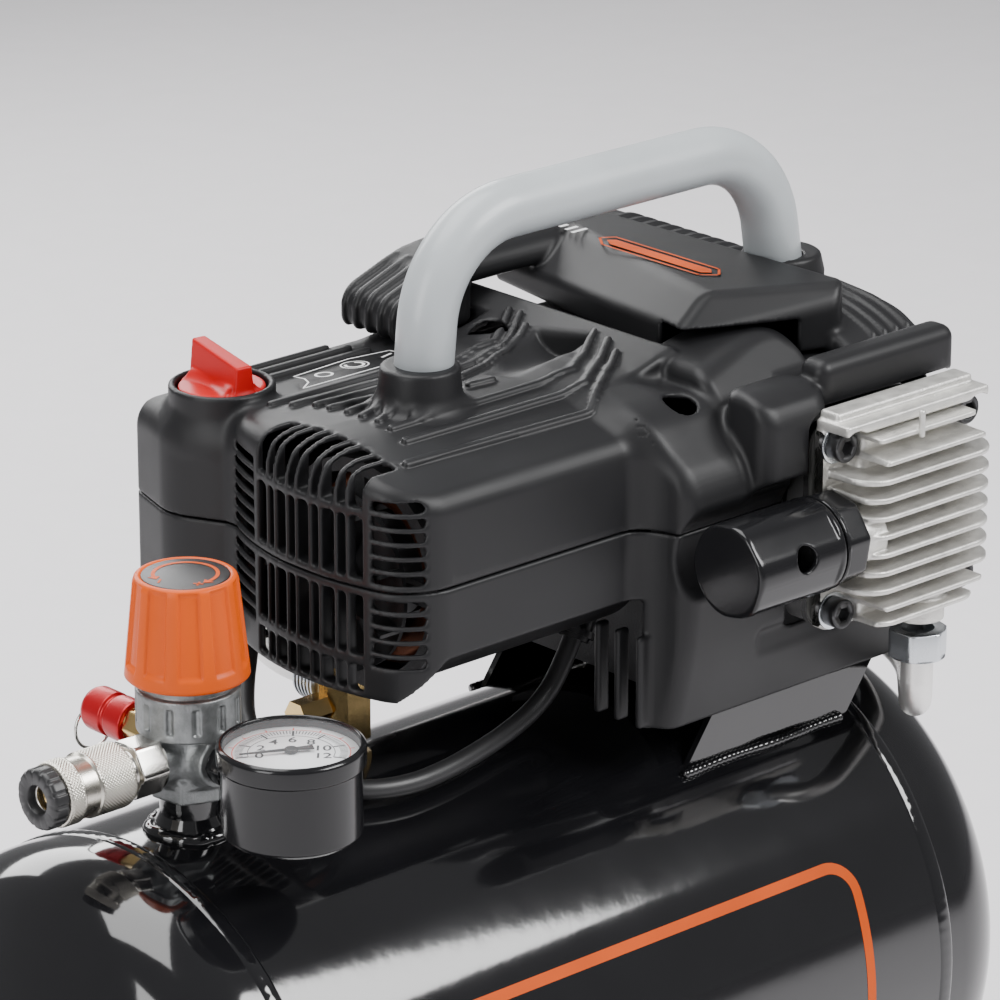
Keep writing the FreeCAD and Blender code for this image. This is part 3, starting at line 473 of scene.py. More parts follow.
def clear_glass():
    """Nearly clear lens, so that the dial shows through it."""
    made = bpy.data.materials.new("clear_lens")
    made.use_nodes = True
    nodes, links = made.node_tree.nodes, made.node_tree.links
    shader = nodes["Principled BSDF"]
    shader.inputs["Roughness"].default_value = 0.03
    shader.inputs["IOR"].default_value = 1.3
    shader.inputs["Alpha"].default_value = 0.05
    dust = nodes.new("ShaderNodeTexNoise")
    dust.inputs["Scale"].default_value = 300
    ramp = nodes.new("ShaderNodeValToRGB")
    ramp.color_ramp.elements[0].color = (0.9, 0.93, 0.95, 1)
    ramp.color_ramp.elements[1].color = (0.97, 0.98, 1.0, 1)
    where = nodes.new("ShaderNodeTexCoord")
    links.new(where.outputs["Object"], dust.inputs["Vector"])
    links.new(dust.outputs["Fac"], ramp.inputs["Fac"])
    links.new(ramp.outputs["Color"], shader.inputs["Base Color"])
    return made


COVER = material("cover_plastic", (0.009, 0.009, 0.010), 0.46, grain=0.22, grain_size=0.0004, tint=0.08,
                 wear=0.12, wear_colour=(0.05, 0.05, 0.053), specular=0.34)
GLOSS = material("tank_gloss", (0.006, 0.006, 0.007), 0.09, tint=0.1, rough_range=0.03, coat=0.5,
                 grain=0.012, grain_size=0.012)
GLOSS_PLASTIC = material("gloss_plastic", (0.008, 0.008, 0.009), 0.16, rough_range=0.04, coat=0.1,
                         grain=0.02, grain_size=0.002, specular=0.35)
SATIN_BLACK = material("satin_black", (0.016, 0.016, 0.017), 0.38, grain=0.1, grain_size=0.0005)
HANDLE_PAINT = material("handle_paint", (0.44, 0.47, 0.485), 0.36, grain=0.12, grain_size=0.0007,
                        tint=0.04, coat=0.15)
CAST = material("cast_aluminium", (0.66, 0.65, 0.62), 0.44, metal=0.75, grain=0.45, grain_size=0.0009,
                tint=0.12, rough_range=0.12, patches=0.006)
ZINC = material("zinc_casting", (0.24, 0.25, 0.25), 0.42, metal=0.75, grain=0.4, grain_size=0.0010,
                tint=0.25, rough_range=0.12, patches=0.005)
PLATED = material("nickel_plate", (0.72, 0.70, 0.66), 0.20, metal=1.0, grain=0.08, grain_size=0.0006,
                  tint=0.08)
KNURL = material("knurled_steel", (0.66, 0.63, 0.56), 0.30, metal=1.0, grain=0.15, grain_size=0.0003,
                 tint=0.1)
ZINC_STEEL = material("zinc_plated_steel", (0.62, 0.65, 0.68), 0.28, metal=1.0, grain=0.1,
                      grain_size=0.0005)
STEEL = material("ground_steel", (0.55, 0.55, 0.55), 0.25, metal=1.0, grain=0.1, grain_size=0.0004)
LAMINATED = material("laminated_steel", (0.30, 0.30, 0.31), 0.45, metal=1.0, grain=0.3,
                     grain_size=0.0005)
IRON = material("machined_iron", (0.25, 0.25, 0.25), 0.42, metal=0.9, grain=0.4, grain_size=0.0008)
BLACK_OXIDE = material("black_oxide_steel", (0.035, 0.035, 0.037), 0.34, metal=0.7, grain=0.12,
                       grain_size=0.0004, wear=0.3, wear_colour=(0.2, 0.2, 0.2))
BRASS = material("brass", (0.76, 0.55, 0.24), 0.24, metal=1.0, grain=0.12, grain_size=0.0006, tint=0.15)
# Painted shade: a near-black casting colour stands in for the shadow inside the covers, on the crankcase, its
# plate and the rear end shield.
SHADED_CASTING = material("casting_painted_shade", (0.035, 0.035, 0.037), 0.6, metal=0.3, grain=0.5,
                     grain_size=0.0010)
# Enamelled copper colour, partly its own brown and partly darkened further as painted shade inside the motor.
COPPER_AND_SHADE = material("enamelled_copper_and_painted_shade", (0.20, 0.065, 0.03), 0.4, metal=0.7, grain=0.5, grain_size=0.0008)
PIPE = material("drawn_aluminium", (0.80, 0.79, 0.77), 0.30, metal=0.85, grain=0.1, grain_size=0.0008,
                tint=0.05)
RED = material("red_plastic", (0.50, 0.003, 0.004), 0.38, grain=0.06, grain_size=0.0005, tint=0.05,
               specular=0.3)
RED_ANODISED = material("red_anodised", (0.45, 0.004, 0.010), 0.3, metal=0.4, grain=0.15,
                        grain_size=0.0005)
ORANGE = material("orange_plastic", (0.66, 0.085, 0.0), 0.42, grain=0.06, grain_size=0.0005, tint=0.04,
                  specular=0.25)
RUBBER = material("black_rubber", (0.02, 0.02, 0.02), 0.62, grain=0.35, grain_size=0.0007)
TYRE = material("tyre_rubber", (0.022, 0.022, 0.022), 0.7, grain=0.5, grain_size=0.0009)
CABLE = material("cable_sheath", (0.022, 0.022, 0.023), 0.42, grain=0.15, grain_size=0.0007)
FOAM = material("open_foam", (0.05, 0.05, 0.05), 0.95, grain=1.0, grain_size=0.0012)
GASKET = material("gasket_sheet", (0.07, 0.07, 0.065), 0.8, grain=0.5, grain_size=0.0006)
DIAL = material("dial_white", (0.84, 0.85, 0.86), 0.5, grain=0.03, grain_size=0.0004, tint=0.01)
INK_BLACK = material("ink_black", (0.01, 0.01, 0.012), 0.5, grain=0.03)
INK_RED = material("ink_red", (0.62, 0.05, 0.03), 0.5, grain=0.03)
INK_WHITE = material("ink_white", (0.78, 0.78, 0.78), 0.5, grain=0.03)
INK_ORANGE = material("ink_orange", (0.56, 0.07, 0.0), 0.45, grain=0.03, specular=0.2)
LENS = clear_glass()

MATERIAL_NODES = (
    (GLOSS, "tank_stub pump_platform axle_bracket foot_bracket tank_shell"),
    (HANDLE_PAINT, "handle_tube"),
    (SATIN_BLACK, "handle_mounts motor_frame pressure_switch start_capacitor cooling_fan "
                  "coupler_nose drain_valve_knob cable_glands front_wheel_rim rear_wheel_rim"),
    (ZINC_STEEL, "wheel_axle axle_caps discharge_nut"),
    (STEEL, "valve_plate crank_web motor_shaft motor_bearings"),
    (LAMINATED, "stator_core rotor_core"),
    (COVER, "upper_cover lower_cover rear_shroud"),
    (RED, "selector_knob"),
    (RED_ANODISED, "safety_valve_cap"),
    (ORANGE, "regulator_knob"),
    (GLOSS_PLASTIC, "filter_base filter_cap gauge_case"),
    (FOAM, "filter_element"),
    (RUBBER, "rubber_feet"),
    (CABLE, "motor_cable"),
    (TYRE, "front_wheel_tyre rear_wheel_tyre"),
    (GASKET, "head_gasket"),
    # painted shade: these castings are coloured near black for the shadow they sit in
    (SHADED_CASTING, "crankcase crankcase_plate rear_end_shield"),
    (CAST, "cylinder_head connecting_rod piston"),
    (IRON, "cylinder_barrel"),
    (BLACK_OXIDE, "head_bolts"),
    (COPPER_AND_SHADE, "stator_windings"),
    (BRASS, "check_valve drain_valve_body safety_valve_body"),
    (PIPE, "discharge_pipe"),
    (ZINC, "regulator_body"),
    (PLATED, "coupler_body safety_valve_ring"),
    (KNURL, "coupler_sleeve"),
    (DIAL, "gauge_dial"),
    (INK_BLACK, "gauge_needle"),
    (LENS, "gauge_lens"),
)
NODE_MATERIALS = {node: made for made, nodes in MATERIAL_NODES for node in nodes.split()}


def dress_cad():
    """Gives every CAD node its material and a small rounded edge with hardened normals."""
    for name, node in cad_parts.items():
        node.data.materials.clear()
        node.data.materials.append(NODE_MATERIALS[name])
        bevel = node.modifiers.new("edge", "BEVEL")
        bevel.width = 0.3 * MM
        bevel.segments = 2
        bevel.limit_method = "ANGLE"
        bevel.angle_limit = math.radians(40)
        bevel.harden_normals = True


# ---- covers --------------------------------------------------------------------------
def roof_height(p):
    """Crowned roof of the motor tunnel: highest over the shaft, falling to both sides."""
    front = np.minimum(p[1], 0)
    back = np.maximum(p[1] - 5, 0)
    return 276.5 - 0.0035 * front ** 2 - 0.10 * back


def grille_face(p):
    """Distance in front of the bowed grille face."""
    return np.hypot(p[0] - GRILLE_X - BULGE_R, p[1] - GRILLE_Y) - BULGE_R


def tunnel(p):
    bow = np.where(p[0] < 0, grille_face(p), -50.0)
    shoulder = plane(p, (-1, 0, 1.15), (GRILLE_X + 3.5, 0, 271))
    plan = meet([bow, p[0] - 70, -65 - p[1], p[1] - 60], 16)
    return meet([plan, shoulder, p[2] - roof_height(p)], 6.5)


def switch_lobe(p):
    outline = [(-88, 80), (-73, 48), (-40, 20), (60, 20), (60, 116), (-77, 116)]
    side = fence(p, outline, (0, 1), 6)
    return meet([side, p[2] - np.minimum(roof_height(p), 267)], 13)


def crank_box(p):
    side = meet([45 - p[0], p[0] - BOX_END_X, -89 - p[1], p[1] - 97,
                 plane(p, (-21, -7, 0), (45, -68, 0)), plane(p, (1, 1, 0), (BOX_END_X, 85, 0)),
                 plane(p, (1, -1, 0), (BOX_END_X, -80, 0))], 7)
    tuck = plane(p, (0, -56, -13), (0, -89, 176))
    lean = plane(p, (0, -22, 23), (0, -89, 246))
    return meet([side, tuck, lean, p[2] - 272], 7)


def crank_hump(p):
    """Raised corner of the cover above the cylinder, highest near its right end."""
    side = meet([88 - p[0], p[0] - 149, p[1] + 18], 4)
    lean = plane(p, (0, -32, 30), (0, -84, 250))
    slope = plane(p, (-10, 0, 46), (88, -50, 279.5))
    fall = plane(p, (10, 0, 12), (139, -50, 288))
    return meet([side, lean, slope, fall, p[2] - 288, 240 - p[2]], 5)


def head_lip(p):
    """Rounded bar of the cover that runs over the top of the cylinder head."""
    bar = meet([125 - p[0], p[0] - 207.5, -92 - p[1], p[1] + 76, 255 - p[2], p[2] - 284], 6)
    web = meet([125 - p[0], p[0] - 207.5, -80 - p[1], p[1] + 58, 255 - p[2], p[2] - 272], 1)
    return merge(bar, web, 4)


def roof_ramp(p):
    """Roof behind the left collar: rises towards +X to a crest just in front of the shroud."""
    rise = plane(p, (-13, 0, 45), (95, 0, 284))
    wide = meet([44 - p[0], p[0] - 97, -34 - p[1], p[1] - 69, rise, 258 - p[2]], 3)
    narrow = meet([80 - p[0], p[0] - 97, 55 - p[1], p[1] - 103, rise, 258 - p[2]], 3)
    return np.minimum(wide, narrow)


def rear_slope(p):
    """Space above the sloping rear edge of the crank box, under the shroud's bridge."""
    return meet([98.5 - p[0], p[0] - 168, 76 - p[1], plane(p, (0, -11, -18), (0, 79, 272))], 0.5)


def selector_ring(p):
    return cylinder(p, SELECTOR - (0, 0, 14), SELECTOR + (0, 0, 11), 22.5, 1.2)


def left_collar(p):
    return cylinder(p, (LEG_X[0], 0, 262), (LEG_X[0], 0, 294), 19.5, 1.5, 16.6)


def bolt_boss(p):
    """Bulge of the cover beside the cylinder head, over the screw."""
    plan = meet([86 - p[0], p[0] - 125, -99 - p[1], p[1] + 70], 9)
    return meet([plan, plane(p, (0, -1, 1.3), (0, -93, 274)), p[2] - 277, 230 - p[2]], 5)


def outer_cover(clay):
    """The outside of both covers before they are parted."""
    clay.add(tunnel)
    clay.add(switch_lobe, fillet=9)
    clay.add(crank_box, fillet=14)
    clay.cut(rear_slope, edge=2)
    clay.add(roof_ramp, fillet=5)
    clay.add(crank_hump, fillet=3)
    clay.add(head_lip, fillet=2)
    clay.add(bolt_boss, (74, -112, 215), (140, -50, 295), 4)
    clay.add(lambda q: meet([handle_well(q, 1) - 2.4, q[2] - 267, 222 - q[2]], 2),
             (165, -26, 215), (BOX_END_X + 4, 26, 272), 5)
    clay.cut(roof_scoop, (5, -25, 250), (112, 50, 295), 2.5)


def hollow(clay):
    """The room inside a cover; the bars of the grille are deeper than its walls are thick."""
    p = clay.everywhere()[1]
    return np.maximum(clay.field + WALL, GRILLE_X + 7.4 - p[0])


ROOF_RIDGES = [
    [(-62, -41), (38, -43), (80, -14)],
    [(-50, -27), (50, -27), (86, -3)],
    [(-47, -15), (56, -13), (88, 8)],
    [(12, 3), (24, 2)],
    [(-46, -6), (-26, 2)], [(-47, 3), (-29, 9)], [(-46, 13), (-32, 15)],
    [(-46, 24), (-26, 22)], [(-46, 33), (-14, 31)], [(-52, 41), (4, 39)], [(-57, 49), (10, 49)],
    [(18, 16), (54, 26), (78, 40)],
    [(22, 27), (56, 31), (84, 50)], [(28, 37), (60, 40), (84, 57)],
    [(-24, 88), (30, 88)], [(-30, 96), (26, 96)], [(-38, 104), (20, 104)],
]


SCREW_WELL = np.array([74.5, -54.5, 254.0])
SCREW_WAY = np.array([0.0, -0.24, 0.971])
SLOT_WIDTHS = (6.6, 4.0, 6.6, 4.0, 6.6, 4.0, 6.6, 4.0, 6.6)
SLOT_BAR = 1.9


def grille_slots(clay, top, bottom):
    """Four rows of upright slots on the end face and two stacks round its upright corners."""
    rows = [(257.5, 300.0), (227.5, 254.0), (194.5, 220.5), (179.0, 190.5)]
    y = GRILLE_Y - (sum(SLOT_WIDTHS) + SLOT_BAR * (len(SLOT_WIDTHS) - 1)) / 2
    for width in SLOT_WIDTHS:
        for z0, z1 in rows:
            if z1 < bottom or z0 > top:
                continue
            depth = 23 if z1 > 280 else 10
            clay.cut_block((GRILLE_X - 6, y, z0), (GRILLE_X + depth, y + width, z1), 1.6, 0.35)
        y += width + SLOT_BAR
    levels = [260.0 - 6.2 * i for i in range(6)] + [218.0 - 6.2 * i for i in range(5)]
    for z in levels:
        if not bottom < z < top:
            continue
        for y0, y1, depth in ((-75, -44.5, 20), (27.5, 50, 17)):
            clay.cut_block((GRILLE_X - 6, y0, z - 2.0), (GRILLE_X + depth, y1, z + 2.0), 1.5, 0.5)


def head_opening(p):
    return block(p, (111, -120, 168), (208, -48, 265), 6)


def filter_recess(p):
    """Shallow curved bay behind the filter."""
    bay = cylinder(p, (36, -111, FILTER_Z), (140, -111, FILTER_Z), 29.5, 2)
    return meet([bay, 41 - p[0], 191 - p[2], p[2] - 243], 3)


def lower_pocket(p):
    return block(p, (92, -110, 155), (150, -84, 174), 7)


def screw_well(p):
    """Deep screw well in the sloping corner of the crank box."""
    return cylinder(p, SCREW_WELL, SCREW_WELL + SCREW_WAY * 60, 7.4, 0.5)


def roof_well(p):
    return cylinder(p, (66, 50, 275), (92, 76, 256), 9, 1)


def roof_scoop(p):
    """Smooth hollow in the roof between the ridges."""
    return cylinder(p, (34, 8, 290), (84, 22, 283), 14, 1)


def handle_well(p, index):
    foot = np.array([LEG_X[index], 0, HANDLE_FOOT_Z])
    top = np.array([HANDLE_TOP_X[index], 0, HANDLE_TOP_Z])
    way = (top - foot) / (HANDLE_TOP_Z - HANDLE_FOOT_Z)
    return cylinder(p, foot - 30 * way, foot + 60 * way, HANDLE_R + 0.35, 0.1)


def make_upper_cover():
    clay = Clay((-92, -102, PARTING_Z - 1), (BOX_END_X + 4, 118, 295), 1.0)
    outer_cover(clay)
    inner = hollow(clay)
    clay.add(selector_ring, SELECTOR - (36, 36, 22), SELECTOR + (36, 36, 20), 5)
    for points in ROOF_RIDGES:
        spread = np.array(points)
        low = (*(spread.min(0) - 5), 240)
        high = (*(spread.max(0) + 5), 289)
        clay.rib(points, 1.8, 2.2, low, high)
    clay.add(left_collar, (-56, -36, 250), (20, 36, 298), 6)
    clay.cut(filter_recess, (30, -105, 180), (150, -60, 250), 1.2)
    clay.cut(screw_well, SCREW_WELL - 25, SCREW_WELL + 70, 0.8)
    clay.cut(roof_well, (45, 30, 240), (115, 95, 290), 1.0)
    clay.field = np.maximum(clay.field, -inner)
    clay.add(filter_recess_skin, (36, -100, 186), (116, -60, 248), 1.0)
    clay.cut(lambda q: cylinder(q, SELECTOR + (0, 0, 0.7), SELECTOR + (0, 0, 20), 19.6, 0.5),
             SELECTOR - (30, 30, 4), SELECTOR + (30, 30, 16), 0.6)
    clay.cut(lambda q: cylinder(q, SELECTOR - (0, 0, 22), SELECTOR + (0, 0, 4), 6), SELECTOR - (12, 12, 26),
             SELECTOR + (12, 12, 6))
    for index in range(2):
        x = LEG_X[index]
        clay.cut(lambda q, i=index: handle_well(q, i), (x - 22, -22, 226), (x + 22, 22, 292), 0.5)
    clay.cut(head_opening, (105, -105, 160), (214, -40, 272), 1.0)
    grille_slots(clay, 300, PARTING_Z)
    clay.cut(lambda q: q[2] - PARTING_Z - PARTING_GAP)
    return clay.mesh("upper_cover_shell")


def bay_skin(bay, hull):
    """Thin wall that closes the back of a bay, inside the hull."""
    return meet([np.maximum(bay - SKIN, -bay), hull + 0.4], 0.5)


def filter_recess_skin(p):
    return bay_skin(filter_recess(p), np.minimum(crank_box(p), tunnel(p)))


def make_lower_cover():
    clay = Clay((-92, -102, 129), (BOX_END_X + 4, 118, PARTING_Z + 1), 1.0)
    outer_cover(clay)
    inner = hollow(clay)
    clay.cut(filter_recess, (30, -105, 180), (150, -60, 250), 1.2)
    clay.cut(lower_pocket, (85, -115, 148), (160, -80, 182), 1.5)
    clay.field = np.maximum(clay.field, -inner)
    clay.add(filter_recess_skin, (36, -100, 186), (116, -60, 228), 1.0)
    clay.add(lambda q: bay_skin(lower_pocket(q), crank_box(q)), (85, -96, 148), (160, -78, 182), 0.5)
    clay.cut(under_tunnel, edge=1.0)
    clay.cut(head_opening, (105, -105, 160), (214, -40, 272), 1.0)
    for y in (-45, -57, -70):
        clay.add(lambda q, y0=y: block(q, (40, y0 - 1.6, 137), (47, y0 + 1.6, 178), 1.2),
                 (36, y - 5, 130), (50, y + 5, 184), 1.5)
    clay.add(lambda q: meet([switch_lobe(q) + 1, q[0] - 46, 45 - q[1], 172 - q[2], q[2] - 172 - WALL], 0.5),
             (-92, 40, 168), (50, 118, 180))
    clay.cut(lambda q: cylinder(q, (-62, 59, 160), (-62, 59, 180), 9), (-75, 46, 166), (-49, 72, 180))
    grille_slots(clay, PARTING_Z, 120)
    clay.cut(lambda q: PARTING_Z - PARTING_GAP - q[2])
    return clay.mesh("lower_cover_shell")


def under_tunnel(p):
    """What is cut away below the covers: grille foot, stepped front wall, lobe and crank box floors."""
    rise = plane(p, (-17, 0, 19), (-80, 0, 176.5))
    grille = np.where(p[0] < -79, meet([p[2] - 176.5, p[1] - 44.3], 1),
                      meet([rise, p[2] - 193, p[1] - 44.3], 1))
    lobe = meet([44 - p[1], p[2] - 171.5], 1)
    left = meet([np.minimum(grille, lobe), p[0] - 44.9], 1)
    crank = meet([44 - p[0], p[2] - 136], 1)
    return np.minimum(left, crank)


def make_rear_shroud():
    clay = Clay((24, -92, 262), (BOX_END_X + 1, 118, 304), 0.9)
    top = 302

    def lobe(p):
        side = meet([37 - p[0], p[0] - 80, 72 - p[1], p[1] - 116], 8)
        return meet([side, p[2] - top, 272.5 - p[2], plane(p, (-12, 0, 33), (43, 112, 289.5))], 5)

    def link(p):
        return meet([60 - p[0], p[0] - 165, 80 - p[1], p[1] - 115, 288 - p[2], p[2] - 302,
                     plane(p, (0, -1, 1.2), (0, 88, 302)), plane(p, (-12, 0, 33), (43, 112, 289.5))], 3.5)

    def plateau(p):
        outline = [(101, -34), (168, -60), (178, -52), (172, 112), (126, 112)]
        side = fence(p, outline, (0, 1), 3)
        left = plane(p, (-17, 4, 26), (118, -21, 299.5))
        front = plane(p, (-8, -15, 16), (140, -41, 299))
        return meet([side, 274 - p[2], p[2] - 301.5, left, front], 2.5)

    def side(p):
        fall = plane(p, (0, -10, 76), (0, 0, 292.5))
        nose = plane(p, (0, -13, 23), (0, -54, 285.5))
        outer = plane(p, (1.0, 0, 1.1), (201, 0, 292))
        return meet([164 - p[0], p[0] - 209.5, -77 - p[1], p[1] - 113, 271 - p[2], p[2] - 293,
                     fall, nose, outer], 4)

    for shape in (lobe, link, plateau, side):
        clay.add(shape, fillet=2.5)
    inner = clay.field + WALL
    for x in (182, 189, 196, 203):
        clay.add(lambda q, x0=x: meet([side(q) - 1.5, np.abs(q[0] - x0) - 1.7, q[1] + 24, -68 - q[1]], 1.2),
                 (x - 5, -76, 266), (x + 5, -18, 300), 1.0)
    for y in np.arange(20, 100, 8.6):
        clay.add(lambda q, y0=y: meet([side(q) - 1.5, np.abs(q[1] - y0) - 2.2, 181 - q[0]], 1.2),
                 (176, y - 6, 266), (212, y + 6, 300), 1.0)
    for y in (79, 87, 95, 103, 111):
        clay.add(lambda q, y0=y: meet([lobe(q) - 1.7, np.abs(q[1] - y0) - 1.8, q[0] - 68], 1.2),
                 (30, y - 5, 270), (74, y + 5, 306), 0.6)
    clay.cut(lambda q: block(q, (80, -95, 240), (151, -15.5, 289), 0.5), (76, -92, 262), (156, -10, 293))
    clay.cut(lambda q: block(q, (80, -100, 240), (225, -75.6, 290), 0.5), (76, -92, 262), (212, -70, 294))
    clay.cut(lambda q: block(q, (24, 60, 240), (126, 125, 272.2), 0.5), (20, 55, 262), (130, 118, 276))
    clay.field = np.maximum(clay.field, -inner)
    clay.add(lambda q: cylinder(q, (LEG_X[1], 0, 289), (LEG_X[1], 0, 299), 19.5, 1.5, 17.2),
             (165, -28, 282), (220, 28, 304), 2)
    clay.cut(lambda q: handle_well(q, 1), (170, -22, 262), (216, 22, 306), 0.5)
    return clay.mesh("rear_shroud_shell")


def make_covers():
    for name, builder, node in (("upper_cover_shell", make_upper_cover, "upper_cover"),
                                ("lower_cover_shell", make_lower_cover, "lower_cover"),
                                ("rear_shroud_shell", make_rear_shroud, "rear_shroud")):
        piece = add_object(name, builder(), "machine", COVER, (node,))
        thin_out(piece)


# ---- tank ----------------------------------------------------------------------------
def make_tank():
    """Drum with dished ends and its two welded seams."""
    straight = SEAM_X + 12
    knuckle, depth = 42.0, 62.6
    crown = (depth ** 2 + (TANK_R - knuckle) ** 2 - knuckle ** 2) / (2 * (depth - knuckle))
    centre = straight + depth - crown
    turn = math.atan2(TANK_R - knuckle, straight - centre)
    half = [(TANK_R, x) for x in np.linspace(0, straight, 30)]
    for a in np.linspace(math.pi / 2, turn, 26)[1:]:
        half.append((TANK_R - knuckle + knuckle * math.sin(a), straight + knuckle * math.cos(a)))
    for a in np.linspace(turn, 0, 30)[1:]:
        half.append((max(crown * math.sin(a), 0.0), centre + crown * math.cos(a)))
    profile = [(r, -x) for r, x in half[::-1]] + half[1:]
    mesh = lathe("tank_drum", profile, (0, 0, 0), (1, 0, 0), 192)
    add_object("tank_drum", mesh, "machine", GLOSS, ("tank_shell",))
    for side in (-1, 1):
        add_object(f"tank_seam_{'left' if side < 0 else 'right'}", seam(side), "machine", GLOSS)


def seam(side):
    """Rippled weld bead round the drum."""
    angles = np.linspace(0, 2 * math.pi, 1441)[:-1]
    half_width, height, across = 4.0, 0.95, 11
    vertices, faces = [], []
    for i, a in enumerate(angles):
        ripple = 0.97 + 0.025 * math.sin(a * 150 + 0.6 * math.sin(a * 7)) + 0.03 * math.sin(a * 13)
        wander = 0.3 * math.sin(a * 9)
        for j in range(across):
            t = j / (across - 1) * 2 - 1
            r = TANK_R - 0.2 + height * ripple * math.sqrt(max(0, 1 - t * t))
            x = side * SEAM_X + wander + t * half_width
            vertices.append((x, r * math.cos(a), r * math.sin(a)))
    n = len(angles)
    for i in range(n):
        k = (i + 1) % n
        for j in range(across - 1):
            faces.append((i * across + j, k * across + j, k * across + j + 1, i * across + j + 1))
    return mesh_from("seam", vertices, faces)


def bead(name, points, radius, pitch=2.6):
    """Caterpillar weld along a line of points."""
    spacing = 0.55
    path = [np.array(points[0], float)]
    for a, b in zip(points, points[1:]):
        a, b = np.array(a, float), np.array(b, float)
        steps = max(2, int(np.linalg.norm(b - a) / spacing))
        path += [a + (b - a) * t for t in np.linspace(0, 1, steps + 1)[1:]]

    def ripple(i, angles):
        wave = abs(math.sin(i * spacing / pitch * math.pi + 0.8 * math.sin(i * 0.11)))
        return 0.88 + 0.16 * wave + 0.06 * math.sin(i * 0.17)

    return sweep(name, path, radius, 14, ripple)


def on_tank(x, y, lift=0.0):
    """The drum's surface over (x, y), raised by lift."""
    r = TANK_R + lift
    return np.array([x, y * r / TANK_R, math.sqrt(max(r * r - (y * r / TANK_R) ** 2, 0))])


def make_welds():
    for side, label in ((-1, "front"), (1, "rear")):
        y = side * (PLATFORM_HALF_WIDTH + 1.0)
        points = [on_tank(x, y, 0.6) + (0, side * 0.6 * math.sin(x * 0.11), 0)
                  for x in np.arange(71, 168, 3.0)]
        add_object(f"platform_weld_{label}", bead("weld", points, 2.3), "machine", GLOSS)
    ring = []
    for a in np.linspace(0, 2 * math.pi, 60):
        wide = 16.4 + 0.5 * math.sin(5 * a)
        ring.append(on_tank(REG_X + wide * math.cos(a), wide * math.sin(a), 0.2))
    add_object("stub_weld", bead("weld", ring, 3.2, 9.0), "machine", GLOSS)


def strip_on_tank(name, outline, width, lift):
    """A flat painted line on the drum, following (x, arc length) points of a closed outline."""
    pts = np.array(outline, float)
    nxt, prv = np.roll(pts, -1, 0), np.roll(pts, 1, 0)
    way = nxt - prv
    way /= np.linalg.norm(way, axis=1)[:, None]
    normal = np.stack([way[:, 1], -way[:, 0]], 1)
    vertices, faces = [], []
    for side in (0, width):
        ring = pts + normal * side
        for x, s in ring:
            a = s / TANK_R
            r = TANK_R + lift
            vertices.append((x, -r * math.sin(a), r * math.cos(a)))
    n = len(pts)
    for i in range(n):
        j = (i + 1) % n
        faces.append((i, j, n + j, n + i))
    return mesh_from(name, vertices, faces)


def rounded_rectangle(x0, x1, y0, y1, r, step=2.0):
    """Points about step apart round a rectangle with round corners."""
    points = []
    left, right, low, high = x0 + r, x1 - r, y0 + r, y1 - r
    for cx, cy, a0 in ((right, low, -90), (right, high, 0), (left, high, 90), (left, low, 180)):
        points += [(cx + r * math.cos(math.radians(a0 + t)), cy + r * math.sin(math.radians(a0 + t)))
                   for t in range(0, 91, 10)]
    full = []
    for (xa, ya), (xb, yb) in zip(points, points[1:] + points[:1]):
        count = max(1, int(math.hypot(xb - xa, yb - ya) / step))
        full += [(xa + (xb - xa) * i / count, ya + (yb - ya) * i / count) for i in range(count)]
    return full


def make_tank_panel():
    """Outline of the empty panel on the drum's front."""
    upper_edge = math.acos(0.548) * TANK_R + 9
    height, corner = 84, 12
    outline = rounded_rectangle(-108, 127, upper_edge, upper_edge + height, corner)
    mesh = strip_on_tank("tank_panel_line", outline, 5.0, 0.12)
    add_object("tank_panel_line", mesh, "machine", INK_ORANGE)


# ---- handle --------------------------------------------------------------------------
def make_handle():
    points = [(LEG_X[0] - 0.5, 0, HANDLE_FOOT_Z - 3), (HANDLE_TOP_X[0], 0, HANDLE_TOP_Z),
              (HANDLE_TOP_X[1], 0, HANDLE_TOP_Z), (LEG_X[1] + 0.5, 0, HANDLE_FOOT_Z - 3)]
    mesh = sweep("carry_handle", bent_path(points, HANDLE_BEND, 2.0), HANDLE_R, 64)
    add_object("carry_handle", mesh, "machine", HANDLE_PAINT, ("handle_tube",))


# ---- pump head -----------------------------------------------------------------------
HEAD_CORNERS = [(HEAD_X + sx * BOLT_HALF_PITCH, HEAD_Z + sz * BOLT_HALF_PITCH)
                for sx in (-1, 1) for sz in (-1, 1)]


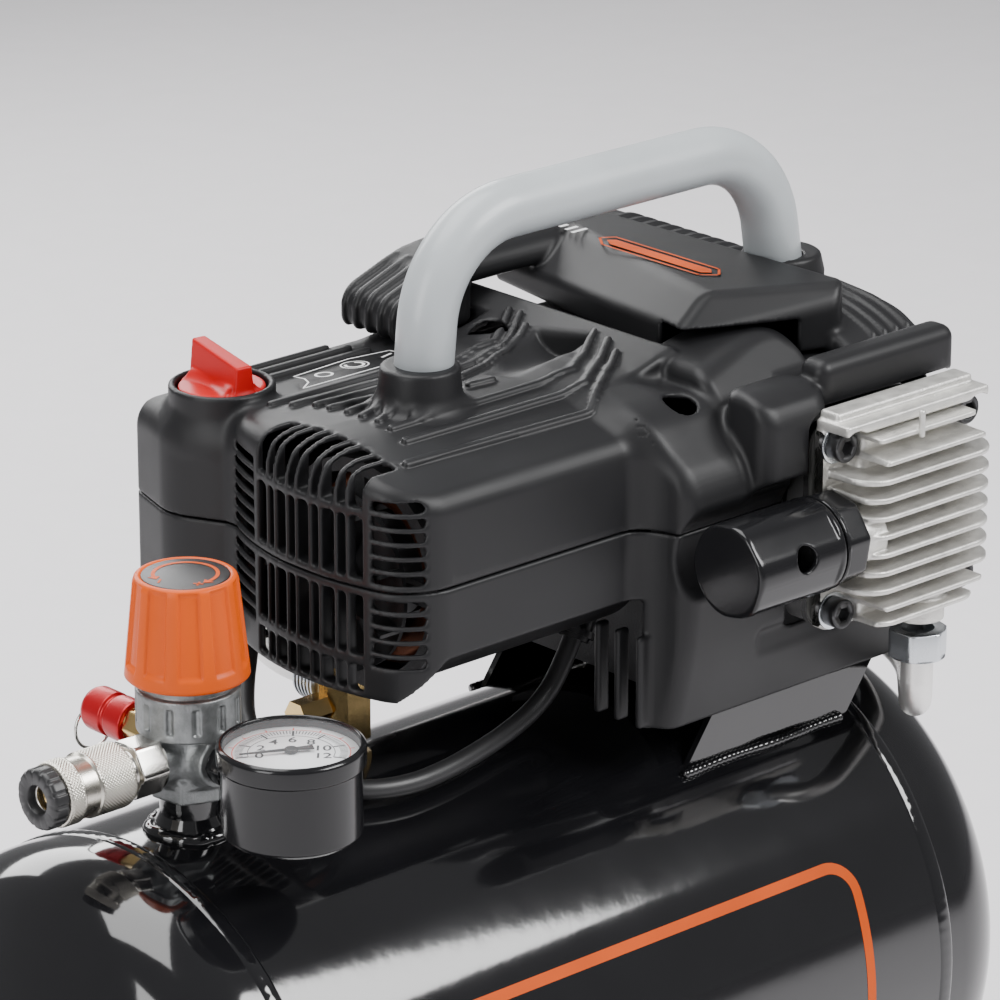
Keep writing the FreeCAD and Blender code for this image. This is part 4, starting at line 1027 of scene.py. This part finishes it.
def make_head():
    """Square finned head with a well for the screw at each corner."""
    clay = Clay((116, -130, 168), (206, -97, 272), 0.75)
    x0, z0 = HEAD_X, HEAD_Z

    def flange(p):
        side = meet([np.abs(p[0] - x0) - 46, np.abs(p[2] - z0) - 46], 9)
        return meet([side, -103 - p[1], p[1] + 98], 0.8)

    def core(p):
        return block(p, (x0 - 29, -112, z0 - 42), (x0 + 29, -100, z0 + 44), 4)

    def cap_plate(p):
        plate = meet([np.abs(p[0] - x0) - 43, -117 - p[1], p[1] + 98,
                      z0 + 43.5 - p[2], p[2] - z0 - 48.5], 1.2)
        step = meet([np.abs(p[0] - x0) - 41, -109 - p[1], p[1] + 98,
                     z0 + 46 - p[2], p[2] - z0 - 52], 1.5)
        return merge(plate, step, 1.0)

    clay.add(flange)
    clay.add(core, fillet=1)
    clay.add(cap_plate, fillet=1)
    pitch = 8.1
    fins, corner = 11, 14.0
    for i in range(fins):
        z = z0 - 40.5 + pitch * i
        half, front = {0: (34.0, -126.0), fins - 1: (39.0, -123.0)}.get(i, (40.0, -128.5))

        def fin(p):
            side = meet([np.abs(p[0] - x0) - half, front - p[1], p[1] + 85], corner)
            thick = 1.2 + 0.02 * (p[1] - front)
            return meet([side, np.abs(p[2] - z) - thick, p[1] + 98], 0.6)

        clay.add(fin, (116, -131, z - 6), (206, -96, z + 6), 0.5)
    for x, z in HEAD_CORNERS:
        clay.cut(lambda q: cylinder(q, (x, -140, z), (x, -103.2, z), 8.6, 0.5),
                 (x - 12, -131, z - 12), (x + 12, -100, z + 12), 0.6)
        clay.add(lambda q: cylinder(q, (x, -103.8, z), (x, -99, z), 8.2, 0.5),
                 (x - 12, -107, z - 12), (x + 12, -97, z + 12), 0.4)
    clay.cut(lambda q: cylinder(q, (90, -113.5, FILTER_Z), (120.5, -113.5, FILTER_Z), 21.2, 0.5),
             (116, -131, 190), (126, -97, 240), 0.5)
    clay.add(lambda q: cylinder(q, (119.3, -113.5, FILTER_Z), (132, -113.5, FILTER_Z), 12, 0.8),
             (116, -130, 198), (136, -97, 232), 1.0)
    clay.add(lambda q: cylinder(q, (x0 + 9, -111, 162.2), (x0 + 9, -111, 182), 11, 0.8),
             (150, -130, 166), (182, -97, 190), 1.5)
    clay.add(lambda q: cylinder(q, (x0 - 6, -124, 254), (x0 - 6, -124, 266), 1.4, 0.4),
             (146, -128, 250), (158, -118, 268), 0.8)
    return clay.mesh("finned_head")


def make_pump_parts():
    piece = add_object("finned_head", make_head(), "machine", CAST, ("cylinder_head",))
    thin_out(piece)
    bolts, washers = [], []
    shank = [(0, 0), (3.9, 0), (3.9, 18), (0, 18)]
    washer = rounded([(4.2, 0), (8.2, 0), (8.2, -1.0), (4.2, -1.0), (4.2, 0)], 0.2, 3)
    for x, z in HEAD_CORNERS:
        bolts.append(socket_screw((x, -111, z), (0, 1, 0), 6.5, 8.0, 3.0, 4.4))
        bolts.append(lathe("shank", shank, (x, -103.2, z), (0, 1, 0), 24))
        washers.append(lathe("washer", washer, (x, -103.6, z), (0, 1, 0), 48))
    add_object("head_screws", joined("head_screws", bolts), "machine", BLACK_OXIDE,
               ("head_bolts",))
    add_object("head_washers", joined("head_washers", washers), "machine", ZINC_STEEL)


def socket_screw(place, axis, radius, height, socket, depth):
    """Hexagon socket screw head with a knurled side and a rounded rim; axis points into the work."""
    segments = 72

    def shape(angles, at, r):
        if r < socket * 1.2:
            sector = (angles % (math.pi / 3)) - math.pi / 6
            return r * math.cos(math.pi / 6) / np.cos(sector)
        if abs(r - radius) < 0.05 and 1.2 < at < height - 1.0:
            return r + 0.18 * np.cos(angles * 36)
        return np.full_like(angles, r)

    rim = rounded([(socket * 1.15, 0), (radius, 0), (radius, height)], 0.9, 6)
    hole = [(0, depth), (socket * 1.13, depth), (socket * 1.13, 0.35), (socket * 1.19, 0.02)]
    return lathe("screw", hole + rim + [(0, height)], place, axis, segments, shape)


def make_filter():
    """Glossy round filter: capped drum with flats, joint ring and many-sided base."""
    axis_z = FILTER_Z
    clay = Clay((50, FILTER_Y - 23, axis_z - 23), (122, FILTER_Y + 23, axis_z + 23), 0.6)

    def cap(p):
        bar = cylinder(p, (53, FILTER_Y, axis_z), (104, FILTER_Y, axis_z), 20.5, 2.2)
        wide = prism(p[1] - FILTER_Y, p[2] - axis_z, 6, 20, 19.6, 1.0)
        return meet([bar, np.where(p[0] < 100, wide, wide - 2)], 0.8)

    def base(p):
        sides = prism(p[1] - FILTER_Y, p[2] - axis_z, 8, 10, 19.0, 1.2)
        return meet([sides, 105.2 - p[0], p[0] - 118.2], 1.4)

    clay.add(cap)
    clay.cut(lambda q: cylinder(q, (60, FILTER_Y, axis_z), (101, FILTER_Y, axis_z), 17.5, 0.5))
    hole_z = axis_z + 4
    clay.cut(lambda q: cylinder(q, (80, FILTER_Y - 30, hole_z), (80, FILTER_Y - 12, hole_z), 5.5, 0.1),
             edge=0.7)
    add_object("filter_drum", clay.mesh("filter_drum"), "machine", GLOSS_PLASTIC,
               ("filter_cap",))
    clay = Clay((102, FILTER_Y - 23, axis_z - 23), (120.5, FILTER_Y + 23, axis_z + 23), 0.6)
    clay.add(base)
    clay.add(lambda q: cylinder(q, (104.3, FILTER_Y, axis_z), (106, FILTER_Y, axis_z), 20.2, 0.5))
    clay.cut(lambda q: block(q, (111.2, -103.3, 150), (130, -80, 280), 0.5), edge=0.6)
    clay.add(lambda q: cylinder(q, (112, FILTER_Y - 4.5, axis_z), (119.2, FILTER_Y - 4.5, axis_z), 10, 0.6))
    add_object("filter_holder", clay.mesh("filter_holder"), "machine", GLOSS_PLASTIC,
               ("filter_base",))


# ---- regulator group -----------------------------------------------------------------
def make_regulator():
    clay = Clay((REG_X - 24, -24, 137), (REG_X + 24, 26, 192), 0.6)

    def lower(p):
        return meet([prism(p[0] - REG_X, p[1], 6, 8, 14.0, 0.8), 139.4 - p[2], p[2] - 150], 0.9)

    def waist(p):
        return cylinder(p, (REG_X, 0, 146), (REG_X, 0, 174), 14.8, 1.0)

    def upper(p):
        return cylinder(p, (REG_X, 0, 168.5), (REG_X, 0, 186.5), 21.4, 0.9)

    def lip(p):
        return cylinder(p, (REG_X, 0, 185), (REG_X, 0, 190), 19.2, 1.0)

    clay.add(lower)
    clay.add(waist, fillet=1)
    clay.add(upper, fillet=2)
    clay.add(lip, fillet=0.6)
    for start, end, r in (((REG_X, 0, PORT_Z), (REG_X - 20, 0, PORT_Z), 10.5),
                          ((REG_X, 0, PORT_Z), (REG_X, -20, PORT_Z), 10.5),
                          ((REG_X, 0, RELIEF_Z), (REG_X, 21, RELIEF_Z), 9.5)):
        clay.add(lambda q: cylinder(q, start, end, r, 0.8), fillet=3)
    for k in range(12):
        t = math.radians(30 * k)
        at = (REG_X + 21.6 * math.cos(t), 21.6 * math.sin(t))
        clay.cut(lambda q: cylinder(q, (*at, 172), (*at, 183), 1.5, 0.5),
                 (at[0] - 4, at[1] - 4, 168), (at[0] + 4, at[1] + 4, 188), 0.6)
    add_object("regulator_casting", clay.mesh("regulator_casting"), "machine", ZINC,
               ("regulator_body",))


def make_regulator_knob():
    """Tapered knob with ten wide flutes that stop above its skirt, and a marked disc on top."""
    height0, height1 = 191.0, 234.0
    profile = [(17.5, 205), (17.5, height0)]
    levels = np.concatenate([[height0, height0 + 0.8], np.linspace(height0 + 2, height1 - 2.5, 46)])
    for z in levels:
        t = (z - height0) / (height1 - height0)
        r = 25.6 - 4.4 * t - (0.9 if z < height0 + 0.5 else 0)
        profile.append((r, z))
    rim = 1.8
    for a in np.radians(np.linspace(0, 90, 7)[1:]):
        profile.append((21.1 - rim * (1 - math.cos(a)), height1 - rim + rim * math.sin(a)))
    profile += [(18.5, height1), (18.2, height1 - 0.5), (0, height1 - 0.5)]

    def flutes(angles, z, r):
        if r < 19.5 or z < height0 + 0.9:
            return np.full_like(angles, r)
        start = np.clip((z - height0 - 6.0) / 1.0, 0, 1) * np.clip((height1 - 1.0 - z) / 1.0, 0, 1)
        wave = np.cos(10 * angles)
        groove = np.clip((wave + 0.55) / 0.3, 0, 1)
        groove = groove * groove * (3 - 2 * groove)
        return r - 1.3 * groove * start

    mesh = lathe("regulator_cap", profile, (REG_X, 0, 0), (0, 0, 1), 360, flutes)
    add_object("regulator_cap", mesh, "adjuster", ORANGE, ("regulator_knob",))
    disc = lathe("disc", rounded([(0, 0.25), (17.6, 0.25), (18.0, 0), (18.0, -0.6)], 0.2, 3),
                 (REG_X, 0, height1 - 0.3), (0, 0, 1), 96)
    add_object("regulator_disc", disc, "adjuster", SATIN_BLACK)
    marks = [flat_arc((REG_X, 0), 12.2, 13.8, -118, 118, height1 + 0.1, 36)]
    for a in (-118, 118):
        t = math.radians(a + 36)
        tip_turn = 14 if a > 0 else -14
        tip = math.radians(a + 36 + tip_turn)
        inner = [(REG_X + r * math.cos(t), r * math.sin(t), height1 + 0.1) for r in (10.4, 15.6)]
        point = (REG_X + 13 * math.cos(tip), 13 * math.sin(tip), height1 + 0.1)
        order = (0, 1, 2) if a > 0 else (1, 0, 2)
        marks.append(mesh_from("arrow", [*inner, point], [order]))
    for a, upright in ((36 + 142, False), (36 + 218, True)):
        t = math.radians(a)
        centre = np.array([REG_X + 13 * math.cos(t), 13 * math.sin(t)])
        marks.append(bar(centre, math.radians(36), 4.2, 0.9, height1 + 0.1))
        if upright:
            marks.append(bar(centre, math.radians(126), 4.2, 0.9, height1 + 0.1))
    add_object("regulator_marks", joined("regulator_marks", marks), "adjuster", INK_ORANGE)


def flat_arc(centre, inner, outer, a0, a1, z, turn=0, steps=60):
    """A flat printed arc between two radii and two angles in degrees."""
    vertices, faces = [], []
    for i, a in enumerate(np.radians(np.linspace(a0, a1, steps) + turn)):
        for r in (inner, outer):
            vertices.append((centre[0] + r * math.cos(a), centre[1] + r * math.sin(a), z))
    for i in range(steps - 1):
        faces.append((2 * i, 2 * i + 1, 2 * i + 3, 2 * i + 2))
    return mesh_from("arc", vertices, faces)


def bar(centre, angle, length, width, z):
    """A flat printed bar about centre, at a height z."""
    c, s = math.cos(angle), math.sin(angle)
    vertices = []
    for a, b in ((-1, -1), (1, -1), (1, 1), (-1, 1)):
        x = centre[0] + (a * length * c - b * width * s) / 2
        y = centre[1] + (a * length * s + b * width * c) / 2
        vertices.append((x, y, z))
    return mesh_from("bar", vertices, [(0, 1, 2, 3)])


DIAL_TOP_WAY = (0.68, 0.74)
SCALE_SWEEP = -210
SCALE_TOP = 12


def make_gauge():
    """Gauge with a plain scale; a number is printed at every second unit, and the hand is at zero."""
    z1 = GAUGE_TOP_Z
    centre = np.array([REG_X, GAUGE_Y, 0.0])
    profile = [(0, z1 - 40), (25.5, z1 - 40), (28.3, z1 - 37.5), (28.3, z1 - 9.4), (30, z1 - 8.8),
               (30, z1 - 1.4), (28.4, z1), (27.6, z1 - 0.4), (27.5, z1 - 5.2), (0, z1 - 5.2)]
    case = lathe("gauge_shell", rounded(profile, 0.9, 6), centre, (0, 0, 1), 144)
    ax, ay, az = REG_X, -20.0, PORT_Z
    hexa = lathe("gauge_neck", rounded([(0, 0), (8.0, 0), (8.0, 8), (5, 8), (5, 24), (0, 24)], 0.4, 3),
                 (ax, ay, az), (0, -1, 0), 48, hexed(8.0))
    add_object("gauge_shell", joined("gauge_shell", [case, hexa]), "machine", GLOSS_PLASTIC,
               ("gauge_case",))
    face_z = z1 - 4.9
    dial = lathe("gauge_face", [(0, face_z + 0.05), (27.2, face_z + 0.05), (27.2, face_z - 0.25)], centre,
                 (0, 0, 1), 96)
    add_object("gauge_face", dial, "machine", DIAL, ("gauge_dial",))
    noon = math.degrees(math.atan2(DIAL_TOP_WAY[1], DIAL_TOP_WAY[0]))
    zero = noon - SCALE_SWEEP / 2
    marks, reds = [], []
    ink_z = face_z + 0.12
    for i in range(SCALE_TOP * 5 + 1):
        a = math.radians(zero + SCALE_SWEEP * i / (SCALE_TOP * 5))
        major = i % 10 == 0
        inner = 17.6 if major else 19.4
        mid = (inner + 22.5) / 2
        place = centre[:2] + mid * np.array([math.cos(a), math.sin(a)])
        marks.append(bar(place, a, 22.5 - inner, 0.9 if major else 0.38, ink_z))
    marks.append(flat_arc(centre, 17.2, 17.5, zero + SCALE_SWEEP, zero, ink_z))
    for i in range(9):
        a = math.radians(zero + SCALE_SWEEP * i / 8)
        place = centre[:2] + 24.5 * np.array([math.cos(a), math.sin(a)])
        reds.append(bar(place, a, 1.9, 0.6, ink_z))
    reds.append(flat_arc(centre, 23.3, 23.7, zero + SCALE_SWEEP, zero, ink_z))
    add_object("gauge_scale", joined("gauge_scale", marks), "machine", INK_BLACK)
    add_object("gauge_outer_scale", joined("gauge_outer_scale", reds), "machine", INK_RED)
    for number in range(0, SCALE_TOP + 1, 2):
        a = math.radians(zero + SCALE_SWEEP * number / SCALE_TOP)
        place = centre[:2] + 13.0 * np.array([math.cos(a), math.sin(a)])
        add_text(f"gauge_number_{number}", str(number), 7.4, place, ink_z, math.radians(noon - 90), INK_BLACK)
    hub = lathe("hub", rounded([(0, 1.8), (2.4, 1.8), (2.8, 1.4), (2.8, 0.2), (0, 0.2)], 0.3, 3),
                (*centre[:2], face_z + 0.3), (0, 0, 1), 32)
    a = math.radians(zero)
    way = np.array([math.cos(a), math.sin(a)])
    across = np.array([-way[1], way[0]])
    outline = [(-9, -1.9), (-9, 1.9), (0, 1.1), (21, 0.3), (21, -0.3), (0, -1.1)]
    points = [(*(centre[:2] + s * way + t * across), z)
              for z in (face_z + 1.3, face_z + 1.8) for s, t in outline]
    n = len(outline)
    sides = [(i, (i + 1) % n, n + (i + 1) % n, n + i) for i in range(n)]
    hand = mesh_from("hand", points, [tuple(range(n)), tuple(range(2 * n - 1, n - 1, -1)), *sides], False)
    add_object("gauge_pointer", joined("gauge_pointer", [hub, hand]), "pointer", INK_BLACK,
               ("gauge_needle",))
    lens = rounded([(0, z1 - 2.3), (27.4, z1 - 2.3), (27.4, z1 - 1.3), (0, z1 - 0.9)], 0.3, 3)
    glass = lathe("gauge_glass", lens, centre, (0, 0, 1), 96)
    add_object("gauge_glass", glass, "machine", LENS, ("gauge_lens",))


def add_text(name, words, size, place, z, turn, mat):
    curve = bpy.data.curves.new(name, "FONT")
    curve.body = words
    curve.size = size * MM
    curve.offset = 0.012 * size * MM
    curve.align_x = "CENTER"
    curve.align_y = "CENTER"
    curve.materials.append(mat)
    piece = bpy.data.objects.new(name, curve)
    bpy.context.scene.collection.objects.link(piece)
    piece.location = (place[0] * MM, place[1] * MM, (z + AXIS_Z) * MM)
    piece.rotation_euler = (0, 0, turn)
    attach(piece, "machine")


def hexed(radius):
    """A wobble that turns rings of one radius into a hexagon."""
    def shape(angles, at, r):
        if abs(r - radius) > 0.35:
            return np.full_like(angles, r)
        sector = (angles % (math.pi / 3)) - math.pi / 6
        return np.minimum(r * math.cos(math.pi / 6) / np.cos(sector) * 1.06, r * 1.03)
    return shape


def make_coupler():
    """Quick coupler: hexagon body, knurled sleeve with a plain groove, ribbed rubber nose."""
    tip = (REG_X, 0, PORT_Z)
    way = (-1, 0, 0)
    body_profile = rounded([(0, 19.8), (12.1, 19.8), (12.1, 33), (9, 33), (9, 74),
                            (5.2, 74), (5.2, 40), (0, 40)], 0.5, 4)
    body = lathe("coupler_core", body_profile, tip, way, 96, hexed(12.1))
    add_object("coupler_core", body, "machine", PLATED, ("coupler_body",))
    levels = np.linspace(37.2, 70.5, 112)
    outline = [(9.15, 37.2)]
    for at in levels:
        r = 13.8
        if 55.0 < at < 63.0:
            r = 12.8
        if at < 38.2 or at > 69.5:
            r = 13.0 if at in (levels[0], levels[-1]) else 13.5
        outline.append((r, at))
    outline.append((9.15, 70.5))

    def knurl(angles, at, r):
        if r < 13.3 or 54.2 < at < 63.8:
            return np.full_like(angles, min(r, 13.7))
        a, b = angles * 28 + at * 2.1, angles * 28 - at * 2.1
        return r - 0.36 * (1 - np.abs(np.sin(a)) * np.abs(np.sin(b)))

    sleeve = lathe("coupler_ring", outline, tip, way, 504, knurl)
    add_object("coupler_ring", sleeve, "release_sleeve", KNURL, ("coupler_sleeve",))

    def ribs(angles, at, r):
        if r < 12:
            return np.full_like(angles, r)
        return r - 0.55 * np.clip((np.cos(14 * angles) - 0.55) * 6, 0, 1)

    nose_profile = [(9.0, 71.2), (12.8, 71.2)] + [(12.8, at) for at in np.linspace(72, 76.5, 5)]
    nose_profile += [(12.2, 77.6), (11.4, 78), (6.6, 78), (6.0, 77.4), (6.0, 66)]
    nose = lathe("coupler_tip", nose_profile, tip, way, 224, ribs)
    add_object("coupler_tip", nose, "machine", SATIN_BLACK, ("coupler_nose",))
    seal_profile = rounded([(6.0, 68), (4.2, 68), (4.2, 70.5), (6.0, 70.5)], 0.4, 4)
    seal = lathe("coupler_seal", seal_profile, tip, way, 64)
    add_object("coupler_seal", seal, "machine", BRASS)


def make_safety_valve():
    base = (REG_X, 0, RELIEF_Z)
    way = (0, 1, 0)
    body_profile = rounded([(0, 21), (8.0, 21), (8.0, 33.6), (4.4, 34), (4.4, 46), (0, 46)], 0.5, 4)
    body = lathe("relief_body", body_profile, base, way, 48, hexed(8.0))
    add_object("relief_body", body, "machine", BRASS, ("safety_valve_body",))
    profile = [(4.55, 48), (4.55, 34.3), (9.3, 34.3), (9.5, 35.6), (9.5, 44.4), (8.5, 45.2),
               (8.5, 46.8), (9.5, 47.6), (9.5, 58), (8.6, 60), (2.3, 60.1), (2.3, 60.9)]
    cap = lathe("relief_cap", rounded(profile, 0.5, 4), base, way, 96)
    eye = lathe("eye", rounded([(1.25, -1.6), (2.9, -1.6), (2.9, 1.6), (1.25, 1.6), (1.25, -1.6)], 0.4, 4),
                (REG_X, 62.3, RELIEF_Z), (1, 0, 0), 32)
    add_object("relief_cap", joined("relief_cap", [cap, eye]), "safety_pull", RED_ANODISED,
               ("safety_valve_cap",))
    angles = np.linspace(0, 2 * math.pi, 97)
    r = 9.4
    loop = [(REG_X + r * math.cos(a), 62.3, RELIEF_Z - r + r * math.sin(a)) for a in angles]
    ring = sweep("relief_ring", loop, 0.7, 16, None, False)
    add_object("relief_ring", ring, "pull_ring", PLATED, ("safety_valve_ring",))


# ---- selector ------------------------------------------------------------------------
def make_selector():
    clay = Clay(SELECTOR - (20, 20, 14), SELECTOR + (20, 20, 29), 0.5)
    turn = math.radians(83)
    c, s = math.cos(turn), math.sin(turn)

    def local(p):
        x, y = p[0] - SELECTOR[0], p[1] - SELECTOR[1]
        return x * c + y * s, -x * s + y * c, p[2] - SELECTOR[2]

    def disc(p):
        return cylinder(p, SELECTOR + (0, 0, 1.4), SELECTOR + (0, 0, 10), 18.4, 1.2)

    def grip(p):
        u, v, w = local(p)
        wide = 3.8 + 0.10 * (21 - w)
        return meet([np.abs(v) - wide, np.abs(u) - 17.8, 6 - w, w - 24.0 - 0.12 * u], 0.8)

    def flare(p):
        u, v, w = local(p)
        wide = 6.0 + 0.28 * np.abs(u)
        return meet([np.abs(v) - wide + 0.9 * (w - 9), np.abs(u) - 15.5, 8 - w, w - 14.5], 1.0)

    clay.add(disc)
    clay.add(grip, fillet=2.4)
    clay.add(lambda q: meet([flare(q), disc(q) - 3.6], 0.5), fillet=1.5)
    clay.add(lambda q: cylinder(q, SELECTOR - (0, 0, 13), SELECTOR + (0, 0, 3), 5.4, 0.4))
    add_object("selector_grip", clay.mesh("selector_grip"), "selector", RED,
               ("selector_knob",))


def roof_z(x, y, lift=0.35):
    return float(roof_height((np.array(x), np.array(y), 0))) + lift


def roof_line(name, points, width, closed=False):
    """Painted line on the roof through (x, y) points."""
    pts = [np.array(p, float) for p in points]
    if closed:
        pts.append(pts[0])
    dense = [pts[0]]
    for a, b in zip(pts, pts[1:]):
        count = max(1, int(np.linalg.norm(b - a) / 2))
        dense += [a + (b - a) * i / count for i in range(1, count + 1)]
    vertices, faces = [], []
    for i, here in enumerate(dense):
        before, after = dense[max(i - 1, 0)], dense[min(i + 1, len(dense) - 1)]
        if closed and i in (0, len(dense) - 1):
            before, after = dense[-2], dense[1]
        way = (after - before) / np.linalg.norm(after - before)
        normal = np.array([-way[1], way[0]]) * width / 2
        for side in (1, -1):
            x, y = here + side * normal
            vertices.append((x, y, roof_z(x, y)))
    for i in range(len(dense) - 1):
        faces.append((2 * i, 2 * i + 1, 2 * i + 3, 2 * i + 2))
    return mesh_from(name, vertices, faces)


def circle(cx, cy, r, start=0, end=360, steps=40):
    return [(cx + r * math.cos(math.radians(a)), cy + r * math.sin(math.radians(a)))
            for a in np.linspace(start, end, steps)]


def make_roof_symbols():
    """Switch positions printed on the roof, in an outlined panel."""
    panel = [(-30, 60), (-22, 66), (-19, 72), (-19, 79), (14, 82), (34, 78), (34, 62), (12, 60)]
    lines = [roof_line("panel", panel, 0.8, True),
             roof_line("off", circle(-9.5, 70.5, 3.6), 1.2),
             roof_line("target", circle(9, 72, 6.0), 0.7),
             roof_line("ring", circle(9, 72, 3.9, 130, 410), 1.3),
             roof_line("on", [(24, 71.5), (31, 73.5)], 1.3)]
    add_object("switch_symbols", joined("switch_symbols", lines), "machine", INK_WHITE)


def make_badge():
    """Blank outlined badge and three plain dashes on the shroud's top."""
    z = 301.95
    outer = [(141, -14), (147, -8), (147, 56), (141, 60), (135, 52), (135, -8)]
    lines, width = [], 1.1
    for a, b in zip(outer, outer[1:] + outer[:1]):
        a, b = np.array(a, float), np.array(b, float)
        angle, length = math.atan2(*(b - a)[::-1]), np.linalg.norm(b - a) + width
        lines.append(bar((a + b) / 2, angle, length, width, z))
    core = [(141, -9.5), (144.2, -6), (144.2, 53), (141, 55.5), (137.8, 50), (137.8, -6)]
    lines.append(mesh_from("core", [(x, y, z) for x, y in core], [tuple(range(len(core)))]))
    add_object("shroud_badge", joined("shroud_badge", lines), "machine", INK_ORANGE)
    dashes = [bar((142, 74 + 5 * i), 0, 9 - 2 * i, 2.0, z) for i in range(3)]
    add_object("shroud_dashes", joined("shroud_dashes", dashes), "machine", INK_WHITE)


# ---- pipe, cable, wheels -------------------------------------------------------------
CABLE_ROUTE = [(52, -18, 160), (43.5, -18.8, 146), (30, -20.5, 136), (11, -24, 131), (-11, -29, 129.3),
               (-34, -33, 128), (-57, -34, 127.8), (-78, -28, 129.5), (-92, -12, 133), (-96, 9, 139),
               (-91, 28, 146), (-79, 43, 154.5), (-67, 54, 165), (-59, 61.5, 179), (-56, 64.5, 196)]
CABLE_DIAMETER = 8.5


def smooth_line(name, route, diameter, mat, body, replaced):
    """A round lead on one smooth curve through its route's control points."""
    curve = bpy.data.curves.new(name, "CURVE")
    curve.dimensions = "3D"
    curve.bevel_depth = diameter * MM / 2
    curve.bevel_resolution = 8
    curve.use_fill_caps = True
    spline = curve.splines.new("NURBS")
    spline.points.add(len(route) - 1)
    for point, (x, y, z) in zip(spline.points, route):
        point.co = (x * MM, y * MM, (z + AXIS_Z) * MM, 1)
    spline.order_u = 3
    spline.use_endpoint_u = True
    spline.resolution_u = 12
    curve.materials.append(mat)
    piece = bpy.data.objects.new(name, curve)
    bpy.context.scene.collection.objects.link(piece)
    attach(piece, body)
    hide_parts(*replaced)
    return piece


def make_lines():
    """The motor's lead, and the nut where the discharge pipe enters the head."""
    smooth_line("motor_lead", CABLE_ROUTE, CABLE_DIAMETER, CABLE, "machine", ("motor_cable",))
    profile = rounded([(7.2, 149), (12.4, 149), (12.4, 161.5), (9.4, 161.6), (7.2, 161.6)], 0.8, 4)
    nut = lathe("pipe_nut", profile, (HEAD_X + 9, -111, 0), (0, 0, 1), 96, hexed(12.4))
    add_object("pipe_nut", nut, "machine", ZINC_STEEL, ("discharge_nut",))


def make_wheels():
    """Tyres with a ribbed tread on both wheels."""
    low, high = cad_box("front_wheel_tyre")
    centre_x, axle_z = (low[0] + high[0]) / 2, (low[2] + high[2]) / 2
    radius = (high[2] - low[2]) / 2
    for label, side in (("front", -1), ("rear", 1)):
        inner, outer = 104.0, 130.0
        profile = [(48.1, inner + 1.5), (50, inner + 0.2), (54, inner), (58, inner + 1.6)]
        for i in range(5):
            at = inner + 4.0 + i * 4.0
            profile += [(radius - 1.2, at - 0.6), (radius - 0.02, at),
                        (radius - 0.02, at + 2.2), (radius - 1.2, at + 2.8)]
        profile += [(58, outer - 1.6), (54, outer), (50, outer - 0.2),
                    (48.1, outer - 1.5), (48.1, inner + 1.5)]

        def tread(angles, at, r):
            if r < radius - 0.6:
                return np.full_like(angles, r)
            return r - 0.9 * np.clip((np.cos(48 * angles) - 0.75) * 8, 0, 1)

        base = (centre_x, 0, axle_z)
        mesh = lathe(label + "_tyre", profile, base, (0, side, 0), 384, tread)
        add_object(label + "_tyre", mesh, label + "_wheel", TYRE, (label + "_wheel_tyre",))


def make_check_valve():
    """Finned compression nut on the check valve under the motor."""
    fins = []
    for i in range(6):
        at = 34 + 2.2 * i
        fins += [(8.6, at), (11.4, at + 0.3), (11.4, at + 1.6), (8.6, at + 1.9)]
    profile = [(7.3, 33.5)] + fins + [(8.6, 49), (7.3, 49)]
    nut = lathe("check_nut", profile, (-38, 0, 150), (0, 1, 0), 64)
    add_object("check_nut", nut, "machine", ZINC_STEEL)


# ---- studio --------------------------------------------------------------------------
def area_light(name, place, target, size, power, colour=(1, 1, 1)):
    light = bpy.data.lights.new(name, "AREA")
    light.shape = "RECTANGLE"
    light.size, light.size_y = size
    light.energy = power
    light.color = colour
    piece = bpy.data.objects.new(name, light)
    bpy.context.scene.collection.objects.link(piece)
    piece.location = place
    way = Vector(target) - Vector(place)
    piece.rotation_euler = way.to_track_quat("-Z", "Y").to_euler()


def studio():
    """Pale floor and four soft lights, in metres."""
    mesh = bpy.data.meshes.new("floor")
    size = 12
    corners = [(-size, -size, 0), (size, -size, 0), (size, size, 0), (-size, size, 0)]
    mesh.from_pydata(corners, [], [(0, 1, 2, 3)])
    floor = bpy.data.objects.new("floor", mesh)
    bpy.context.scene.collection.objects.link(floor)
    mesh.materials.append(material("floor_paper", (0.90, 0.88, 0.90), 0.8, grain=0.02, tint=0.01))
    world = bpy.data.worlds.new("studio")
    bpy.context.scene.world = world
    world.use_nodes = True
    background = world.node_tree.nodes["Background"]
    background.inputs["Color"].default_value = (0.86, 0.86, 0.88, 1)
    background.inputs["Strength"].default_value = 0.33
    target = (0.05, 0.0, 0.35)
    area_light("key", (0.9, -1.6, 1.9), target, (1.3, 0.9), 66)
    area_light("top", (-0.2, 0.5, 2.2), target, (1.8, 1.2), 46)
    area_light("left", (-2.0, -0.3, 1.1), target, (0.8, 1.4), 24)
    area_light("back", (0.6, 2.0, 1.3), target, (1.8, 0.7), 34)


def camera():
    """Long lens from the front left, looking down a little."""
    azimuth, elevation = math.radians(42.574), math.radians(19.757)
    lens = bpy.data.cameras.new("camera")
    lens.sensor_width = 36
    lens.lens = 192.3
    lens.clip_start = 0.05
    lens.clip_end = 50
    piece = bpy.data.objects.new("camera", lens)
    bpy.context.scene.collection.objects.link(piece)
    way = Vector((math.sin(azimuth) * math.cos(elevation), math.cos(azimuth) * math.cos(elevation),
                  -math.sin(elevation)))
    piece.location = (-1.40369, -1.55700, (983.17 + AXIS_Z) * MM)
    piece.rotation_euler = way.to_track_quat("-Z", "Y").to_euler()
    bpy.context.scene.camera = piece


# ---- everything ----------------------------------------------------------------------
for step in (camera, studio, dress_cad, make_covers, make_tank, make_welds, make_tank_panel,
             make_handle, make_pump_parts, make_filter, make_regulator, make_regulator_knob,
             make_gauge, make_coupler, make_safety_valve, make_selector, make_roof_symbols, make_badge,
             make_lines, make_wheels, make_check_valve):
    step()
